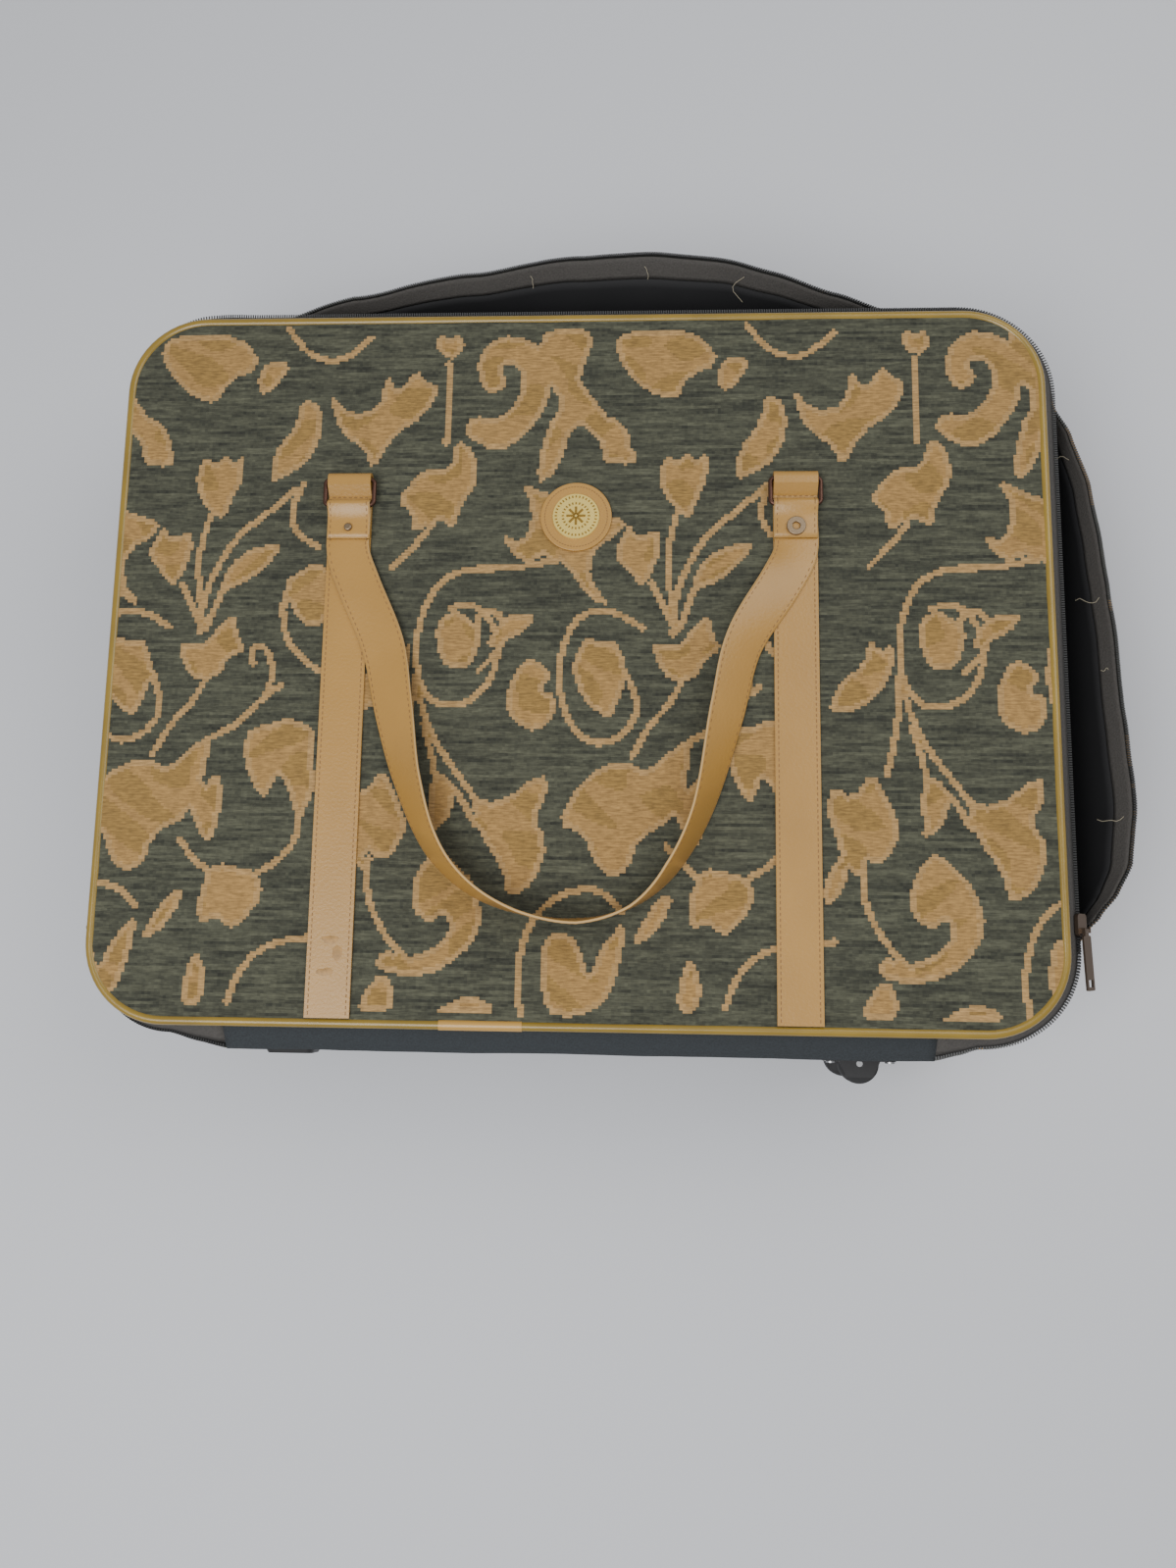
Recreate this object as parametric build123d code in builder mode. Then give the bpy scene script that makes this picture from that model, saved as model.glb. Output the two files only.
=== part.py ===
from build123d import *
import os
from math import cos, hypot, radians, sin

# A soft suitcase lying on its back, front panel up, with its zip open round the top and
# both ends. The case is drawn about the middle of its lid: +X to the right as seen from
# above, +Y to the top edge, +Z up from the floor. Lengths are millimetres. Each finished
# piece is then moved so that the origin is on the floor, under the middle of the outline.

# Driving sizes of the case
LID_LENGTH = 616.0
LID_WIDTH = 477.0
CORNER_RADIUS = 53.0
CASE_DEPTH = 172.0
PIPING_DIAMETER = 6.0
PIPING_FLAT = 0.3
BACK_RISE = 10.2

# Thicknesses of cloth, board and strap
CLOTH = 2.0
BOARD = 2.5
LINING = 0.8
STRAP_THICKNESS = 1.8
TAPE = 1.0
CLEARANCE = 0.3
PANEL_GAP = 0.2
LINING_INSET = 1.0
BOARD_INSET = 2.0

# Zip and the cloth hinge along the bottom edge
RIM_HEIGHT = 151.0
RIM_DROP_TOP = 10.0
WALL_FULL_HEIGHT = 25.0
WALL_MIDDLE_HEIGHT = 95.0
WALL_BASE_INSET = 2.0
WALL_RISE_POWER = 0.5
WALL_FLARE_POWER = 1.7
WALL_TRIM = 3.0
HINGE_HEIGHT = 155.0
HINGE_LEFT = -218.0
HINGE_RIGHT = 227.0
HINGE_REACH = 14.7
TAPE_WIDTH = 12.0
SKIRT_TAPE = 1.4
COIL_HEIGHT = 2.4
COIL_DEPTH = 2.2
SKIRT_TOP_INSET = 3.0
ZIP_REACH = 11.0

# Straps, rings and handles
STRAP_WIDTH = 28.5
STRAP_LEFT_X = -150.0
STRAP_RIGHT_X = 143.0
RING_BAR = 3.0
RING_TOP_Y = 118.5
RING_HEIGHT = 17.5
RING_WIDTH = 32.5
RING_CORNER = 3.0
LOOP_END_Y = 105.5
FLAP_END_Y = 78.0
HANDLE_START_Y = 70.0
RIVET_Y = 85.5

# Medallion
MEDALLION_Y = 94.0
PATCH_DIAMETER = 47.0
PATCH_THICKNESS = 2.0
DISC_DIAMETER = 31.0
DISC_THICKNESS = 1.2

# Snap parts on the handle flaps
STUD_DIAMETER = 5.2
STUD_HEIGHT = 2.2
SOCKET_DIAMETER = 12.4
SOCKET_BORE = 5.0
SOCKET_HEIGHT = 2.0

# Wheels, feet and their places on the bottom
WHEEL_X = 187.0
FOOT_X = -187.0
UPPER_Z = 112.0
LOWER_Z = 46.0
WHEEL_DIAMETER = 26.0
WHEEL_WIDTH = 10.0
WHEEL_GAP = 0.5
WHEEL_DROP = 4.3
AXLE_DIAMETER = 4.0
AXLE_PLAY = 0.06
HOUSING_WALL = 1.6
CHEEK_DEPTH = 13.0
CHEEK_BASE = 27.0
CHEEK_END = 17.0
FLANGE_LENGTH = 46.0
FLANGE_WIDTH = 28.0
FLANGE = 2.4
RIVET_DIAMETER = 3.2
RIVET_HEAD = 6.4
RIVET_HEAD_HEIGHT = 1.2
RIVET_MARGIN = 4.0
FOOT_LENGTH = 34.0
FOOT_WIDTH = 24.0
FOOT_HEIGHT = 4.0
FOOT_TAPER = 4.0
BOARD_LEFT = -214.0
BOARD_RIGHT = 214.0
BOARD_LOW = 28.0
BOARD_HIGH = 130.0

# Zip sliders and pulls
SLIDER_RIGHT_Y = -168.0
SLIDER_LEFT_Y = -174.0
SLIDER_LENGTH = 14.0
SLIDER_WIDTH = 9.5
SLIDER_HEIGHT = 6.6
SLIDER_PLAY = 0.4
SLIDER_TAPE_PLAY = 0.64
PULL_LENGTH = 37.0
PULL_WIDTH = 8.0
PULL_THICKNESS = 1.4
PULL_HOLE = 4.4
PIN_DIAMETER = 1.5
KNUCKLE_DIAMETER = 3.2
KNUCKLE_WIDTH = 3.8
EAR_WIDTH = 1.1
PULL_LEAN_RIGHT = 4.0
PULL_LEAN_LEFT = -45.0

# Woven figure on the front panel
MOTIF_RELIEF = 0.3
VINE_WIDTH = 4.0

# Lapped sleeve over the joint of the front piping
SLEEVE_LEFT = -80.0
SLEEVE_LENGTH = 52.0
SLEEVE_WALL = 0.4

# Longer than anything here, for cutting blocks
FAR = 2000.0

# Sizes worked out from the ones above
half_length = LID_LENGTH / 2
half_width = LID_WIDTH / 2
straight_x = half_length - CORNER_RADIUS
straight_y = half_width - CORNER_RADIUS
piping_radius = PIPING_DIAMETER / 2
piping_front_z = CASE_DEPTH - CLOTH
piping_rear_z = piping_radius - PIPING_FLAT
wall_base = PIPING_DIAMETER - PANEL_GAP
board_front_z = CASE_DEPTH - CLOTH - BOARD
lining_front_z = board_front_z - LINING
board_rear_z = BACK_RISE + CLOTH
lining_rear_z = board_rear_z + BOARD
mid_z = (CASE_DEPTH + BACK_RISE) / 2
skirt_top = piping_front_z - piping_radius - PANEL_GAP / 2
skirt_low = HINGE_HEIGHT + CLEARANCE
plateau_y = -(half_width + HINGE_REACH)
wall_top = HINGE_HEIGHT + WALL_TRIM
hinge_span = HINGE_RIGHT - HINGE_LEFT
hinge_middle = (HINGE_RIGHT + HINGE_LEFT) / 2

# Outward reach of the soft wall beyond the lid's edge, station by station, anticlockwise
# from the left end of the bottom edge. Each row gives the place along a straight side as a
# share of its half length, the reach at the rim, the swell lower down, and the reach of
# the half of the zip that is sewn to the lid.
BOTTOM = [
    (-1.0, 5.0, 5.0, 4.0),
    (-0.92, 11.0, 11.0, 10.0),
    (-0.855, HINGE_REACH, HINGE_REACH, HINGE_REACH),
    (0.89, HINGE_REACH, HINGE_REACH, HINGE_REACH),
    (0.95, 11.0, 11.0, 10.0),
    (1.0, 7.0, 7.0, 6.0),
]
RIGHT = [
    (-1.0, 8.0, 4.0, 9.0),
    (-0.97, 12.0, 4.0, ZIP_REACH),
    (-0.93, 17.0, 4.0, ZIP_REACH),
    (-0.88, 26.0, 4.0, ZIP_REACH),
    (-0.79, 39.0, 4.0, ZIP_REACH),
    (-0.69, 49.0, 4.0, ZIP_REACH),
    (-0.45, 55.0, 4.0, ZIP_REACH),
    (-0.12, 52.0, 4.0, ZIP_REACH),
    (0.3, 48.0, 4.0, ZIP_REACH),
    (0.68, 39.0, 4.0, ZIP_REACH),
    (0.88, 27.0, 4.0, ZIP_REACH),
    (1.0, 15.0, 4.0, ZIP_REACH),
]
TOP = [
    (-1.0, 8.0, 4.0, ZIP_REACH),
    (-0.86, 17.0, 4.0, ZIP_REACH),
    (-0.69, 36.0, 4.0, ZIP_REACH),
    (-0.52, 54.0, 4.0, ZIP_REACH),
    (-0.36, 66.0, 4.0, ZIP_REACH),
    (-0.18, 72.0, 4.0, ZIP_REACH),
    (0.0, 70.0, 4.0, ZIP_REACH),
    (0.32, 57.0, 4.0, ZIP_REACH),
    (0.64, 37.0, 4.0, ZIP_REACH),
    (0.875, 14.0, 4.0, ZIP_REACH),
    (1.0, 3.0, 4.0, ZIP_REACH - 1.0),
]
LEFT = [
    (-1.0, -5.0, 3.0, 0.0),
    (-0.6, -7.0, 3.0, 0.0),
    (0.5, -7.0, 3.0, 0.0),
    (1.0, -3.0, 3.0, 0.0),
]
CORNER_STEPS = 5

# Course of the front handle from the left ring round to the right ring: place, and how far
# the strap stands up on its outer edge, in degrees
HANDLE_COURSE = [
    (STRAP_LEFT_X, HANDLE_START_Y, 0.0),
    (STRAP_LEFT_X + 8.0, 48.0, 1.0),
    (-124.0, 6.0, 5.0),
    (-114.0, -39.0, 22.0),
    (-103.0, -83.0, 46.0),
    (-86.0, -125.0, 62.0),
    (-62.0, -151.0, 76.0),
    (-30.0, -166.0, 90.0),
    (6.0, -171.0, 97.0),
    (38.0, -162.0, 92.0),
    (62.0, -140.0, 76.0),
    (82.0, -102.0, 64.0),
    (98.0, -38.0, 38.0),
    (109.0, 7.0, 30.0),
    (STRAP_RIGHT_X - 9.0, 50.0, 10.0),
    (STRAP_RIGHT_X, HANDLE_START_Y, 0.0),
]
HANDLE_RUNS = [0, 5, 8, 11, 15]

# Fields of the woven figure: leaves and petals as place, heading, length and width
LEAVES = [
    (-262.0, 190.0, -20.0, 62.0, 30.0),
    (-232.0, 172.0, 205.0, 30.0, 14.0),
    (-206.0, 118.0, 70.0, 38.0, 24.0),
    (-190.0, 62.0, 35.0, 34.0, 13.0),
    (-212.0, 20.0, 80.0, 34.0, 30.0),
    (-268.0, -60.0, 60.0, 74.0, 34.0),
    (-203.0, -50.0, 290.0, 52.0, 34.0),
    (-262.0, -200.0, 80.0, 70.0, 20.0),
    (-230.0, -110.0, 15.0, 40.0, 26.0),
    (-170.0, -150.0, 65.0, 60.0, 26.0),
    (-108.0, -112.0, 115.0, 70.0, 34.0),
    (-122.0, 150.0, 75.0, 60.0, 36.0),
    (-82.0, 118.0, 250.0, 50.0, 30.0),
    (-70.0, 196.0, 300.0, 56.0, 34.0),
    (-12.0, 196.0, 270.0, 74.0, 32.0),
    (30.0, 190.0, 20.0, 64.0, 36.0),
    (8.0, 130.0, 250.0, 60.0, 26.0),
    (58.0, 118.0, 300.0, 36.0, 20.0),
    (40.0, 64.0, 60.0, 40.0, 26.0),
    (-78.0, 10.0, 80.0, 46.0, 30.0),
    (-34.0, -28.0, 140.0, 34.0, 26.0),
    (14.0, -6.0, 250.0, 52.0, 34.0),
    (76.0, 28.0, 85.0, 36.0, 28.0),
    (44.0, -74.0, 200.0, 66.0, 40.0),
    (-30.0, -84.0, 320.0, 60.0, 30.0),
    (2.0, -196.0, 90.0, 64.0, 34.0),
    (62.0, -150.0, 40.0, 46.0, 22.0),
    (104.0, -62.0, 280.0, 50.0, 34.0),
    (192.0, 160.0, 70.0, 64.0, 36.0),
    (216.0, 116.0, 250.0, 56.0, 34.0),
    (246.0, 184.0, 280.0, 60.0, 34.0),
    (186.0, 30.0, 50.0, 44.0, 22.0),
    (240.0, 30.0, 80.0, 34.0, 28.0),
    (278.0, -4.0, 110.0, 40.0, 26.0),
    (196.0, -70.0, 100.0, 60.0, 34.0),
    (262.0, -66.0, 320.0, 76.0, 40.0),
    (232.0, -150.0, 105.0, 76.0, 40.0),
    (186.0, -206.0, 70.0, 40.0, 18.0),
]

# Curling stems as centre, radius, start angle and sweep
VINES = [
    (-84.0, 26.0, 34.0, 40.0, 250.0),
    (14.0, -2.0, 46.0, 60.0, 270.0),
    (4.0, -178.0, 42.0, 10.0, 170.0),
    (146.0, 8.0, 40.0, 250.0, 170.0),
    (-236.0, 36.0, 60.0, 290.0, 120.0),
    (254.0, 24.0, 38.0, 70.0, 250.0),
    (-196.0, -120.0, 46.0, 290.0, 110.0),
    (188.0, -150.0, 52.0, 110.0, 120.0),
]


def rounded_rectangle(inset, mode=Mode.ADD):
    """The lid's outline, drawn in from its outer edge by an even margin."""
    length = LID_LENGTH - 2 * inset
    return RectangleRounded(length, LID_WIDTH - 2 * inset, CORNER_RADIUS - inset, mode=mode)


def plate(inset, low, thickness):
    """A flat sheet with the lid's outline."""
    with BuildPart() as sheet:
        with BuildSketch(Plane.XY.offset(low)):
            rounded_rectangle(inset)
        extrude(amount=thickness)
    return sheet.part


def stations():
    """Points round the lid's edge, each with its outward direction and the three reaches."""
    ring = []

    def side(rows, place, normal):
        for share, rim, swell, skirt in rows:
            x, y = place(share)
            ring.append((x, y, normal[0], normal[1], rim, swell, skirt))

    def corner(cx, cy, start, before, after):
        for step in range(1, CORNER_STEPS):
            turn = step / CORNER_STEPS
            angle = radians(start + 90.0 * turn)
            blend = turn * turn * (3 - 2 * turn)
            reaches = [a + (b - a) * blend for a, b in zip(before[1:], after[1:])]
            x = cx + CORNER_RADIUS * cos(angle)
            y = cy + CORNER_RADIUS * sin(angle)
            ring.append((x, y, cos(angle), sin(angle), *reaches))

    side(BOTTOM, lambda share: (share * straight_x, -half_width), (0, -1))
    corner(straight_x, -straight_y, -90.0, BOTTOM[-1], RIGHT[0])
    side(RIGHT, lambda share: (half_length, share * straight_y), (1, 0))
    corner(straight_x, straight_y, 0.0, RIGHT[-1], TOP[0])
    side(TOP, lambda share: (-share * straight_x, half_width), (0, 1))
    corner(-straight_x, straight_y, 90.0, TOP[-1], LEFT[-1])
    side(reversed(LEFT), lambda share: (-half_length, share * straight_y), (-1, 0))
    corner(-straight_x, -straight_y, 180.0, LEFT[0], BOTTOM[0])
    return ring


RING = stations()


def wall_reach(station, z):
    """How far the soft wall's outer face stands beyond the lid's edge at a height."""
    rim, swell = station[4], station[5]
    share = min(1.0, max(0.0, (z - wall_base) / (WALL_FULL_HEIGHT - wall_base)))
    climb = max(0.0, (z - wall_base) / (RIM_HEIGHT - wall_base)) ** WALL_FLARE_POWER
    belly = (swell + WALL_BASE_INSET) * share**WALL_RISE_POWER
    return -WALL_BASE_INSET + belly + (rim - swell) * climb


def skirt_reach(station, z):
    """How far the cloth that hangs from the lid's edge stands out at a height."""
    fall = (skirt_top - z) / (skirt_top - skirt_low)
    return -SKIRT_TOP_INSET + (station[6] + SKIRT_TOP_INSET) * fall


def outline(reach, z, inset):
    """A closed curve through the stations at one height."""
    points = []
    for station in RING:
        out = reach(station, z) - inset
        points.append((station[0] + station[2] * out, station[1] + station[3] * out))
    return points


def solid_of(reach, levels, inset):
    """The full body inside a soft surface, between the lowest and highest level."""
    with BuildPart() as body:
        for z in levels:
            with BuildSketch(Plane.XY.offset(z)):
                with BuildLine():
                    Polyline(*outline(reach, z, inset), close=True)
                make_face()
        loft(ruled=True)
    return body.part


def band(reach, levels, outer, inner):
    """A skin that follows a soft surface, between two insets from its outer face."""
    with BuildPart() as skin:
        add(solid_of(reach, levels, outer))
        tall = [levels[0] - TAPE] + levels[1:-1] + [levels[-1] + TAPE]
        add(solid_of(reach, tall, inner), mode=Mode.SUBTRACT)
    return skin.part


def rim_plane(offset):
    """The slack rim sinks towards the top edge of the case."""
    drop = RIM_DROP_TOP / (2 * half_width)
    origin = (0, -half_width - HINGE_REACH, RIM_HEIGHT + offset)
    return Plane(origin=origin, x_dir=(1, 0, 0), z_dir=(0, drop, 1))


def hinge_block():
    """The stretch of the bottom edge where the cloth hinge takes the zip's place."""
    depth = half_width - straight_y + HINGE_REACH * 2
    middle_y = -half_width + CORNER_RADIUS - depth / 2
    return Pos(hinge_middle, middle_y, 0) * Box(hinge_span, depth, FAR)


WALL_LEVELS = [wall_base, WALL_FULL_HEIGHT, WALL_MIDDLE_HEIGHT, wall_top]
SKIRT_LEVELS = [skirt_low, skirt_top]
hinge_zone = hinge_block()

wall_cloth = band(wall_reach, WALL_LEVELS, 0.0, CLOTH)
lining_face = CLOTH + PANEL_GAP
wall_liner = band(wall_reach, WALL_LEVELS, lining_face, lining_face + LINING)

# Soft side wall: one strip of patterned cloth round both ends and the top
with BuildPart() as side_wall:
    add(wall_cloth)
    add(hinge_zone, mode=Mode.SUBTRACT)
    split(bisect_by=rim_plane(0.0), keep=Keep.BOTTOM)


def flange_corners(z):
    """The four rivet places of a wheel housing whose middle is at a height."""
    reach_x = FLANGE_LENGTH / 2 - RIVET_MARGIN
    reach_z = FLANGE_WIDTH / 2 - RIVET_MARGIN
    return [(WHEEL_X + dx * reach_x, z + dz * reach_z) for dx in (-1, 1) for dz in (-1, 1)]


def gusset_fittings(radius, low, high):
    """Rivet and screw holes through the bottom, drawn along Y."""
    places = [(FOOT_X, UPPER_Z), (FOOT_X, LOWER_Z)]
    places += flange_corners(UPPER_Z) + flange_corners(LOWER_Z)
    with BuildPart() as drills:
        with BuildSketch(Plane(origin=(0, high, 0), x_dir=(1, 0, 0), z_dir=(0, -1, 0))):
            with Locations(*places):
                Circle(radius)
        extrude(amount=high - low)
    return drills.part


cup_length = WHEEL_DIAMETER + 2 * WHEEL_GAP + 2 * HOUSING_WALL
cup_width = WHEEL_WIDTH + 2 * WHEEL_GAP + 2 * HOUSING_WALL
axle_y = plateau_y - WHEEL_DROP
cup_top_y = axle_y + WHEEL_DIAMETER / 2 + WHEEL_GAP + HOUSING_WALL


def cup_openings():
    """Two cut-outs in the bottom for the sunk wheel housings."""
    with BuildPart() as cuts:
        for z in (UPPER_Z, LOWER_Z):
            size = (cup_length + 2 * PANEL_GAP, CORNER_RADIUS, cup_width + 2 * PANEL_GAP)
            with Locations((WHEEL_X, plateau_y, z)):
                Box(*size)
    return cuts.part


drills = gusset_fittings(RIVET_DIAMETER / 2, plateau_y - FLANGE * 2, plateau_y + CORNER_RADIUS / 2)
cups = cup_openings()

# Plain twill along the bottom, up to the line where it bends as the hinge
with BuildPart() as bottom_gusset:
    add(wall_cloth)
    add(hinge_zone, mode=Mode.INTERSECT)
    split(bisect_by=Plane.XY.offset(HINGE_HEIGHT - CLEARANCE), keep=Keep.BOTTOM)
    add(drills, mode=Mode.SUBTRACT)
    add(cups, mode=Mode.SUBTRACT)

# Black lining inside the wall, up to the zip's tape
with BuildPart() as wall_lining:
    add(wall_liner)
    split(bisect_by=rim_plane(-TAPE_WIDTH - PANEL_GAP), keep=Keep.BOTTOM)
    add(drills, mode=Mode.SUBTRACT)
    add(cups, mode=Mode.SUBTRACT)

# Stiff board behind the bottom, which carries the wheels and feet
with BuildPart() as bottom_board:
    board_y = plateau_y + lining_face + LINING + PANEL_GAP
    with BuildSketch(Plane(origin=(0, board_y, 0), x_dir=(1, 0, 0), z_dir=(0, 1, 0))):
        with Locations(((BOARD_LEFT + BOARD_RIGHT) / 2, -(BOARD_LOW + BOARD_HIGH) / 2)):
            RectangleRounded(BOARD_RIGHT - BOARD_LEFT, BOARD_HIGH - BOARD_LOW, PIPING_DIAMETER)
    extrude(amount=BOARD)
    add(drills, mode=Mode.SUBTRACT)
    add(cups, mode=Mode.SUBTRACT)

# Half of the zip on the slack rim: woven tape inside the cloth, coil along its edge
with BuildPart() as rear_zip_tape:
    add(band(wall_reach, WALL_LEVELS, lining_face, lining_face + TAPE))
    add(hinge_zone, mode=Mode.SUBTRACT)
    split(bisect_by=rim_plane(0.0), keep=Keep.BOTTOM)
    split(bisect_by=rim_plane(-TAPE_WIDTH), keep=Keep.TOP)

with BuildPart() as rear_zip_coil:
    add(band(wall_reach, WALL_LEVELS, lining_face + TAPE - COIL_DEPTH, lining_face + TAPE))
    add(hinge_zone, mode=Mode.SUBTRACT)
    split(bisect_by=rim_plane(COIL_HEIGHT), keep=Keep.BOTTOM)
    split(bisect_by=rim_plane(0.0), keep=Keep.TOP)

# Half of the zip on the lid, and the twill hinge flap between its two ends
with BuildPart() as front_zip_tape:
    add(band(skirt_reach, SKIRT_LEVELS, 0.0, SKIRT_TAPE))
    add(hinge_zone, mode=Mode.SUBTRACT)
    split(bisect_by=Plane.XY.offset(skirt_low + COIL_HEIGHT), keep=Keep.TOP)

with BuildPart() as front_zip_coil:
    add(band(skirt_reach, SKIRT_LEVELS, SKIRT_TAPE - COIL_DEPTH, SKIRT_TAPE))
    add(hinge_zone, mode=Mode.SUBTRACT)
    split(bisect_by=Plane.XY.offset(skirt_low + COIL_HEIGHT), keep=Keep.BOTTOM)

with BuildPart() as hinge_flap:
    add(band(skirt_reach, SKIRT_LEVELS, 0.0, CLOTH))
    add(hinge_zone, mode=Mode.INTERSECT)


def loop_path(length, width, radius, place):
    """A closed path with straight sides and round corners."""
    with BuildSketch(mode=Mode.PRIVATE) as shape:
        RectangleRounded(length, width, radius)
    return shape.sketch.face().outer_wire().moved(Location(place))


def piping_ring(z):
    """A round cord of vinyl piping along the edge of a panel."""
    path = loop_path(
        LID_LENGTH - PIPING_DIAMETER,
        LID_WIDTH - PIPING_DIAMETER,
        CORNER_RADIUS - piping_radius,
        (0, 0, z),
    )
    with BuildPart() as cord:
        with BuildSketch(Plane(origin=path @ 0, z_dir=path % 0)):
            Circle(piping_radius)
        sweep(path=path)
    return cord.part


# Piping round the front panel
with BuildPart() as front_piping:
    add(piping_ring(piping_front_z))

# Piping round the back, pressed a little flat where the case lies on it
with BuildPart() as rear_piping:
    add(piping_ring(piping_rear_z))
    split(bisect_by=Plane.XY, keep=Keep.TOP)

# Sleeve over the joint of the front piping
with BuildPart() as piping_sleeve:
    seat = (SLEEVE_LEFT, -half_width + piping_radius, piping_front_z)
    with BuildSketch(Plane(origin=seat, x_dir=(0, 1, 0), z_dir=(1, 0, 0))):
        Circle(piping_radius + SLEEVE_WALL)
        Circle(piping_radius, mode=Mode.SUBTRACT)
        with Locations((piping_radius + SLEEVE_WALL, 0)):
            Rectangle(2 * SLEEVE_WALL, PIPING_DIAMETER * 2, mode=Mode.SUBTRACT)
        with Locations((0, -piping_radius - SLEEVE_WALL)):
            Rectangle(PIPING_DIAMETER * 2, 2 * SLEEVE_WALL, mode=Mode.SUBTRACT)
    extrude(amount=SLEEVE_LENGTH)

# Front panel: patterned cloth over a board, lined inside
with BuildPart() as front_panel:
    add(plate(PIPING_DIAMETER, CASE_DEPTH - CLOTH, CLOTH))

with BuildPart() as front_board:
    add(plate(PIPING_DIAMETER + BOARD_INSET, board_front_z, BOARD))

with BuildPart() as front_lining:
    add(plate(PIPING_DIAMETER + LINING_INSET, lining_front_z, LINING))

# Back panel: a shallow tray of cloth that the handle below pushes up, board and lining
with BuildPart() as back_panel:
    add(plate(PIPING_DIAMETER, piping_rear_z, board_rear_z - piping_rear_z))
    add(plate(PIPING_DIAMETER + CLOTH, 0.0, BACK_RISE), mode=Mode.SUBTRACT)

with BuildPart() as back_board:
    add(plate(PIPING_DIAMETER + BOARD_INSET, board_rear_z, BOARD))

with BuildPart() as back_lining:
    add(plate(PIPING_DIAMETER + LINING_INSET, lining_rear_z, LINING))

# Height stack where a strap, a ring and a handle lie over each other
strap_top = CASE_DEPTH + STRAP_THICKNESS
under_low = strap_top + CLEARANCE
under_top = under_low + STRAP_THICKNESS
bar_z = under_top + CLEARANCE + RING_BAR / 2
flap_low = bar_z + RING_BAR / 2 + CLEARANCE
flap_top = flap_low + STRAP_THICKNESS
ring_low_y = RING_TOP_Y - RING_HEIGHT
bar_room = RING_BAR / 2 + CLEARANCE
front_foot_y = -half_width + PIPING_DIAMETER
rear_foot_y = front_foot_y + CLOTH + CLEARANCE


def side_profile(x):
    """A plane for drawing a strap's side view: local x runs along +Y, local y up."""
    return Plane(origin=(x - STRAP_WIDTH / 2, 0, 0), x_dir=(0, 1, 0), z_dir=(1, 0, 0))


def trim_strap(x, foot_y):
    """A flat strap up the panel, folded back over the ring and sewn down."""
    turn_y = RING_TOP_Y
    turn_mid = (strap_top + flap_low) / 2
    inner = (flap_low - strap_top) / 2
    outer = inner + STRAP_THICKNESS
    slope_y = RING_TOP_Y - RING_BAR
    with BuildPart() as strap:
        with BuildSketch(side_profile(x)):
            with BuildLine():
                Polyline((turn_y, strap_top - STRAP_THICKNESS), (foot_y, CASE_DEPTH))
                Polyline(
                    (foot_y, CASE_DEPTH),
                    (foot_y, strap_top),
                    (LOOP_END_Y, strap_top),
                    (LOOP_END_Y, strap_top + STRAP_THICKNESS),
                    (LOOP_END_Y + STRAP_THICKNESS, strap_top + STRAP_THICKNESS),
                    (slope_y - RING_BAR / 2, flap_top),
                    (turn_y, flap_top),
                )
                ThreePointArc((turn_y, flap_top), (turn_y + outer, turn_mid), (turn_y, CASE_DEPTH))
            make_face()
            with BuildLine():
                Polyline(
                    (turn_y, strap_top),
                    (LOOP_END_Y + 2 * STRAP_THICKNESS, strap_top),
                    (slope_y, flap_low),
                    (turn_y, flap_low),
                )
                ThreePointArc((turn_y, flap_low), (turn_y + inner, turn_mid), (turn_y, strap_top))
            make_face(mode=Mode.SUBTRACT)
        extrude(amount=STRAP_WIDTH)
    return strap.part


def strap_ring(x):
    """A wire ring of four straight bars with round corners."""
    middle = (x, RING_TOP_Y - RING_HEIGHT / 2, bar_z)
    path = loop_path(RING_WIDTH, RING_HEIGHT, RING_CORNER, middle)
    with BuildPart() as ring:
        with BuildSketch(Plane(origin=path @ 0, z_dir=path % 0)):
            Circle(RING_BAR / 2)
        sweep(path=path)
    return ring.part


def handle_end(x):
    """The end of a handle, wrapped round the ring's lower bar and riveted to itself."""
    slope_end = ring_low_y - RING_BAR * 2
    inner = bar_room
    with BuildPart() as end:
        with BuildSketch(side_profile(x)):
            with BuildLine():
                Polyline(
                    (ring_low_y, flap_top),
                    (slope_end, under_top + STRAP_THICKNESS),
                    (FLAP_END_Y, under_top + STRAP_THICKNESS),
                    (FLAP_END_Y, under_top),
                    (HANDLE_START_Y, under_top),
                    (HANDLE_START_Y, under_low),
                    (ring_low_y, under_low),
                )
                mid = (ring_low_y + inner + STRAP_THICKNESS, bar_z)
                ThreePointArc((ring_low_y, under_low), mid, (ring_low_y, flap_top))
            make_face()
            with Locations((ring_low_y, bar_z)):
                Circle(inner, mode=Mode.SUBTRACT)
        extrude(amount=STRAP_WIDTH)
    return end.part


def handle_section(course, index, flat):
    """Where the strap's cross-section stands at one point of its course."""
    x, y, tilt = course[index]
    before = course[max(index - 1, 0)]
    after = course[min(index + 1, len(course) - 1)]
    dx, dy = after[0] - before[0], after[1] - before[1]
    if index in (0, len(course) - 1):
        dx, dy = 0.0, -1.0 if index == 0 else 1.0
    length = hypot(dx, dy)
    dx, dy = dx / length, dy / length
    lean = 0.0 if flat else radians(tilt)
    across = (-dy * cos(lean), dx * cos(lean), sin(lean))
    rise = STRAP_THICKNESS / 2 * abs(cos(lean)) + STRAP_WIDTH / 2 * sin(lean)
    return Plane(origin=(x, y, under_low + rise), x_dir=across, z_dir=(dx, dy, 0))


def handle_run(course, first, last, flat):
    """One stretch of the strap, short enough to turn through less than a right angle."""
    with BuildPart() as run:
        for index in range(first, last + 1):
            with BuildSketch(handle_section(course, index, flat)):
                Rectangle(STRAP_WIDTH, STRAP_THICKNESS)
        loft(ruled=True)
    return run.part


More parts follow.
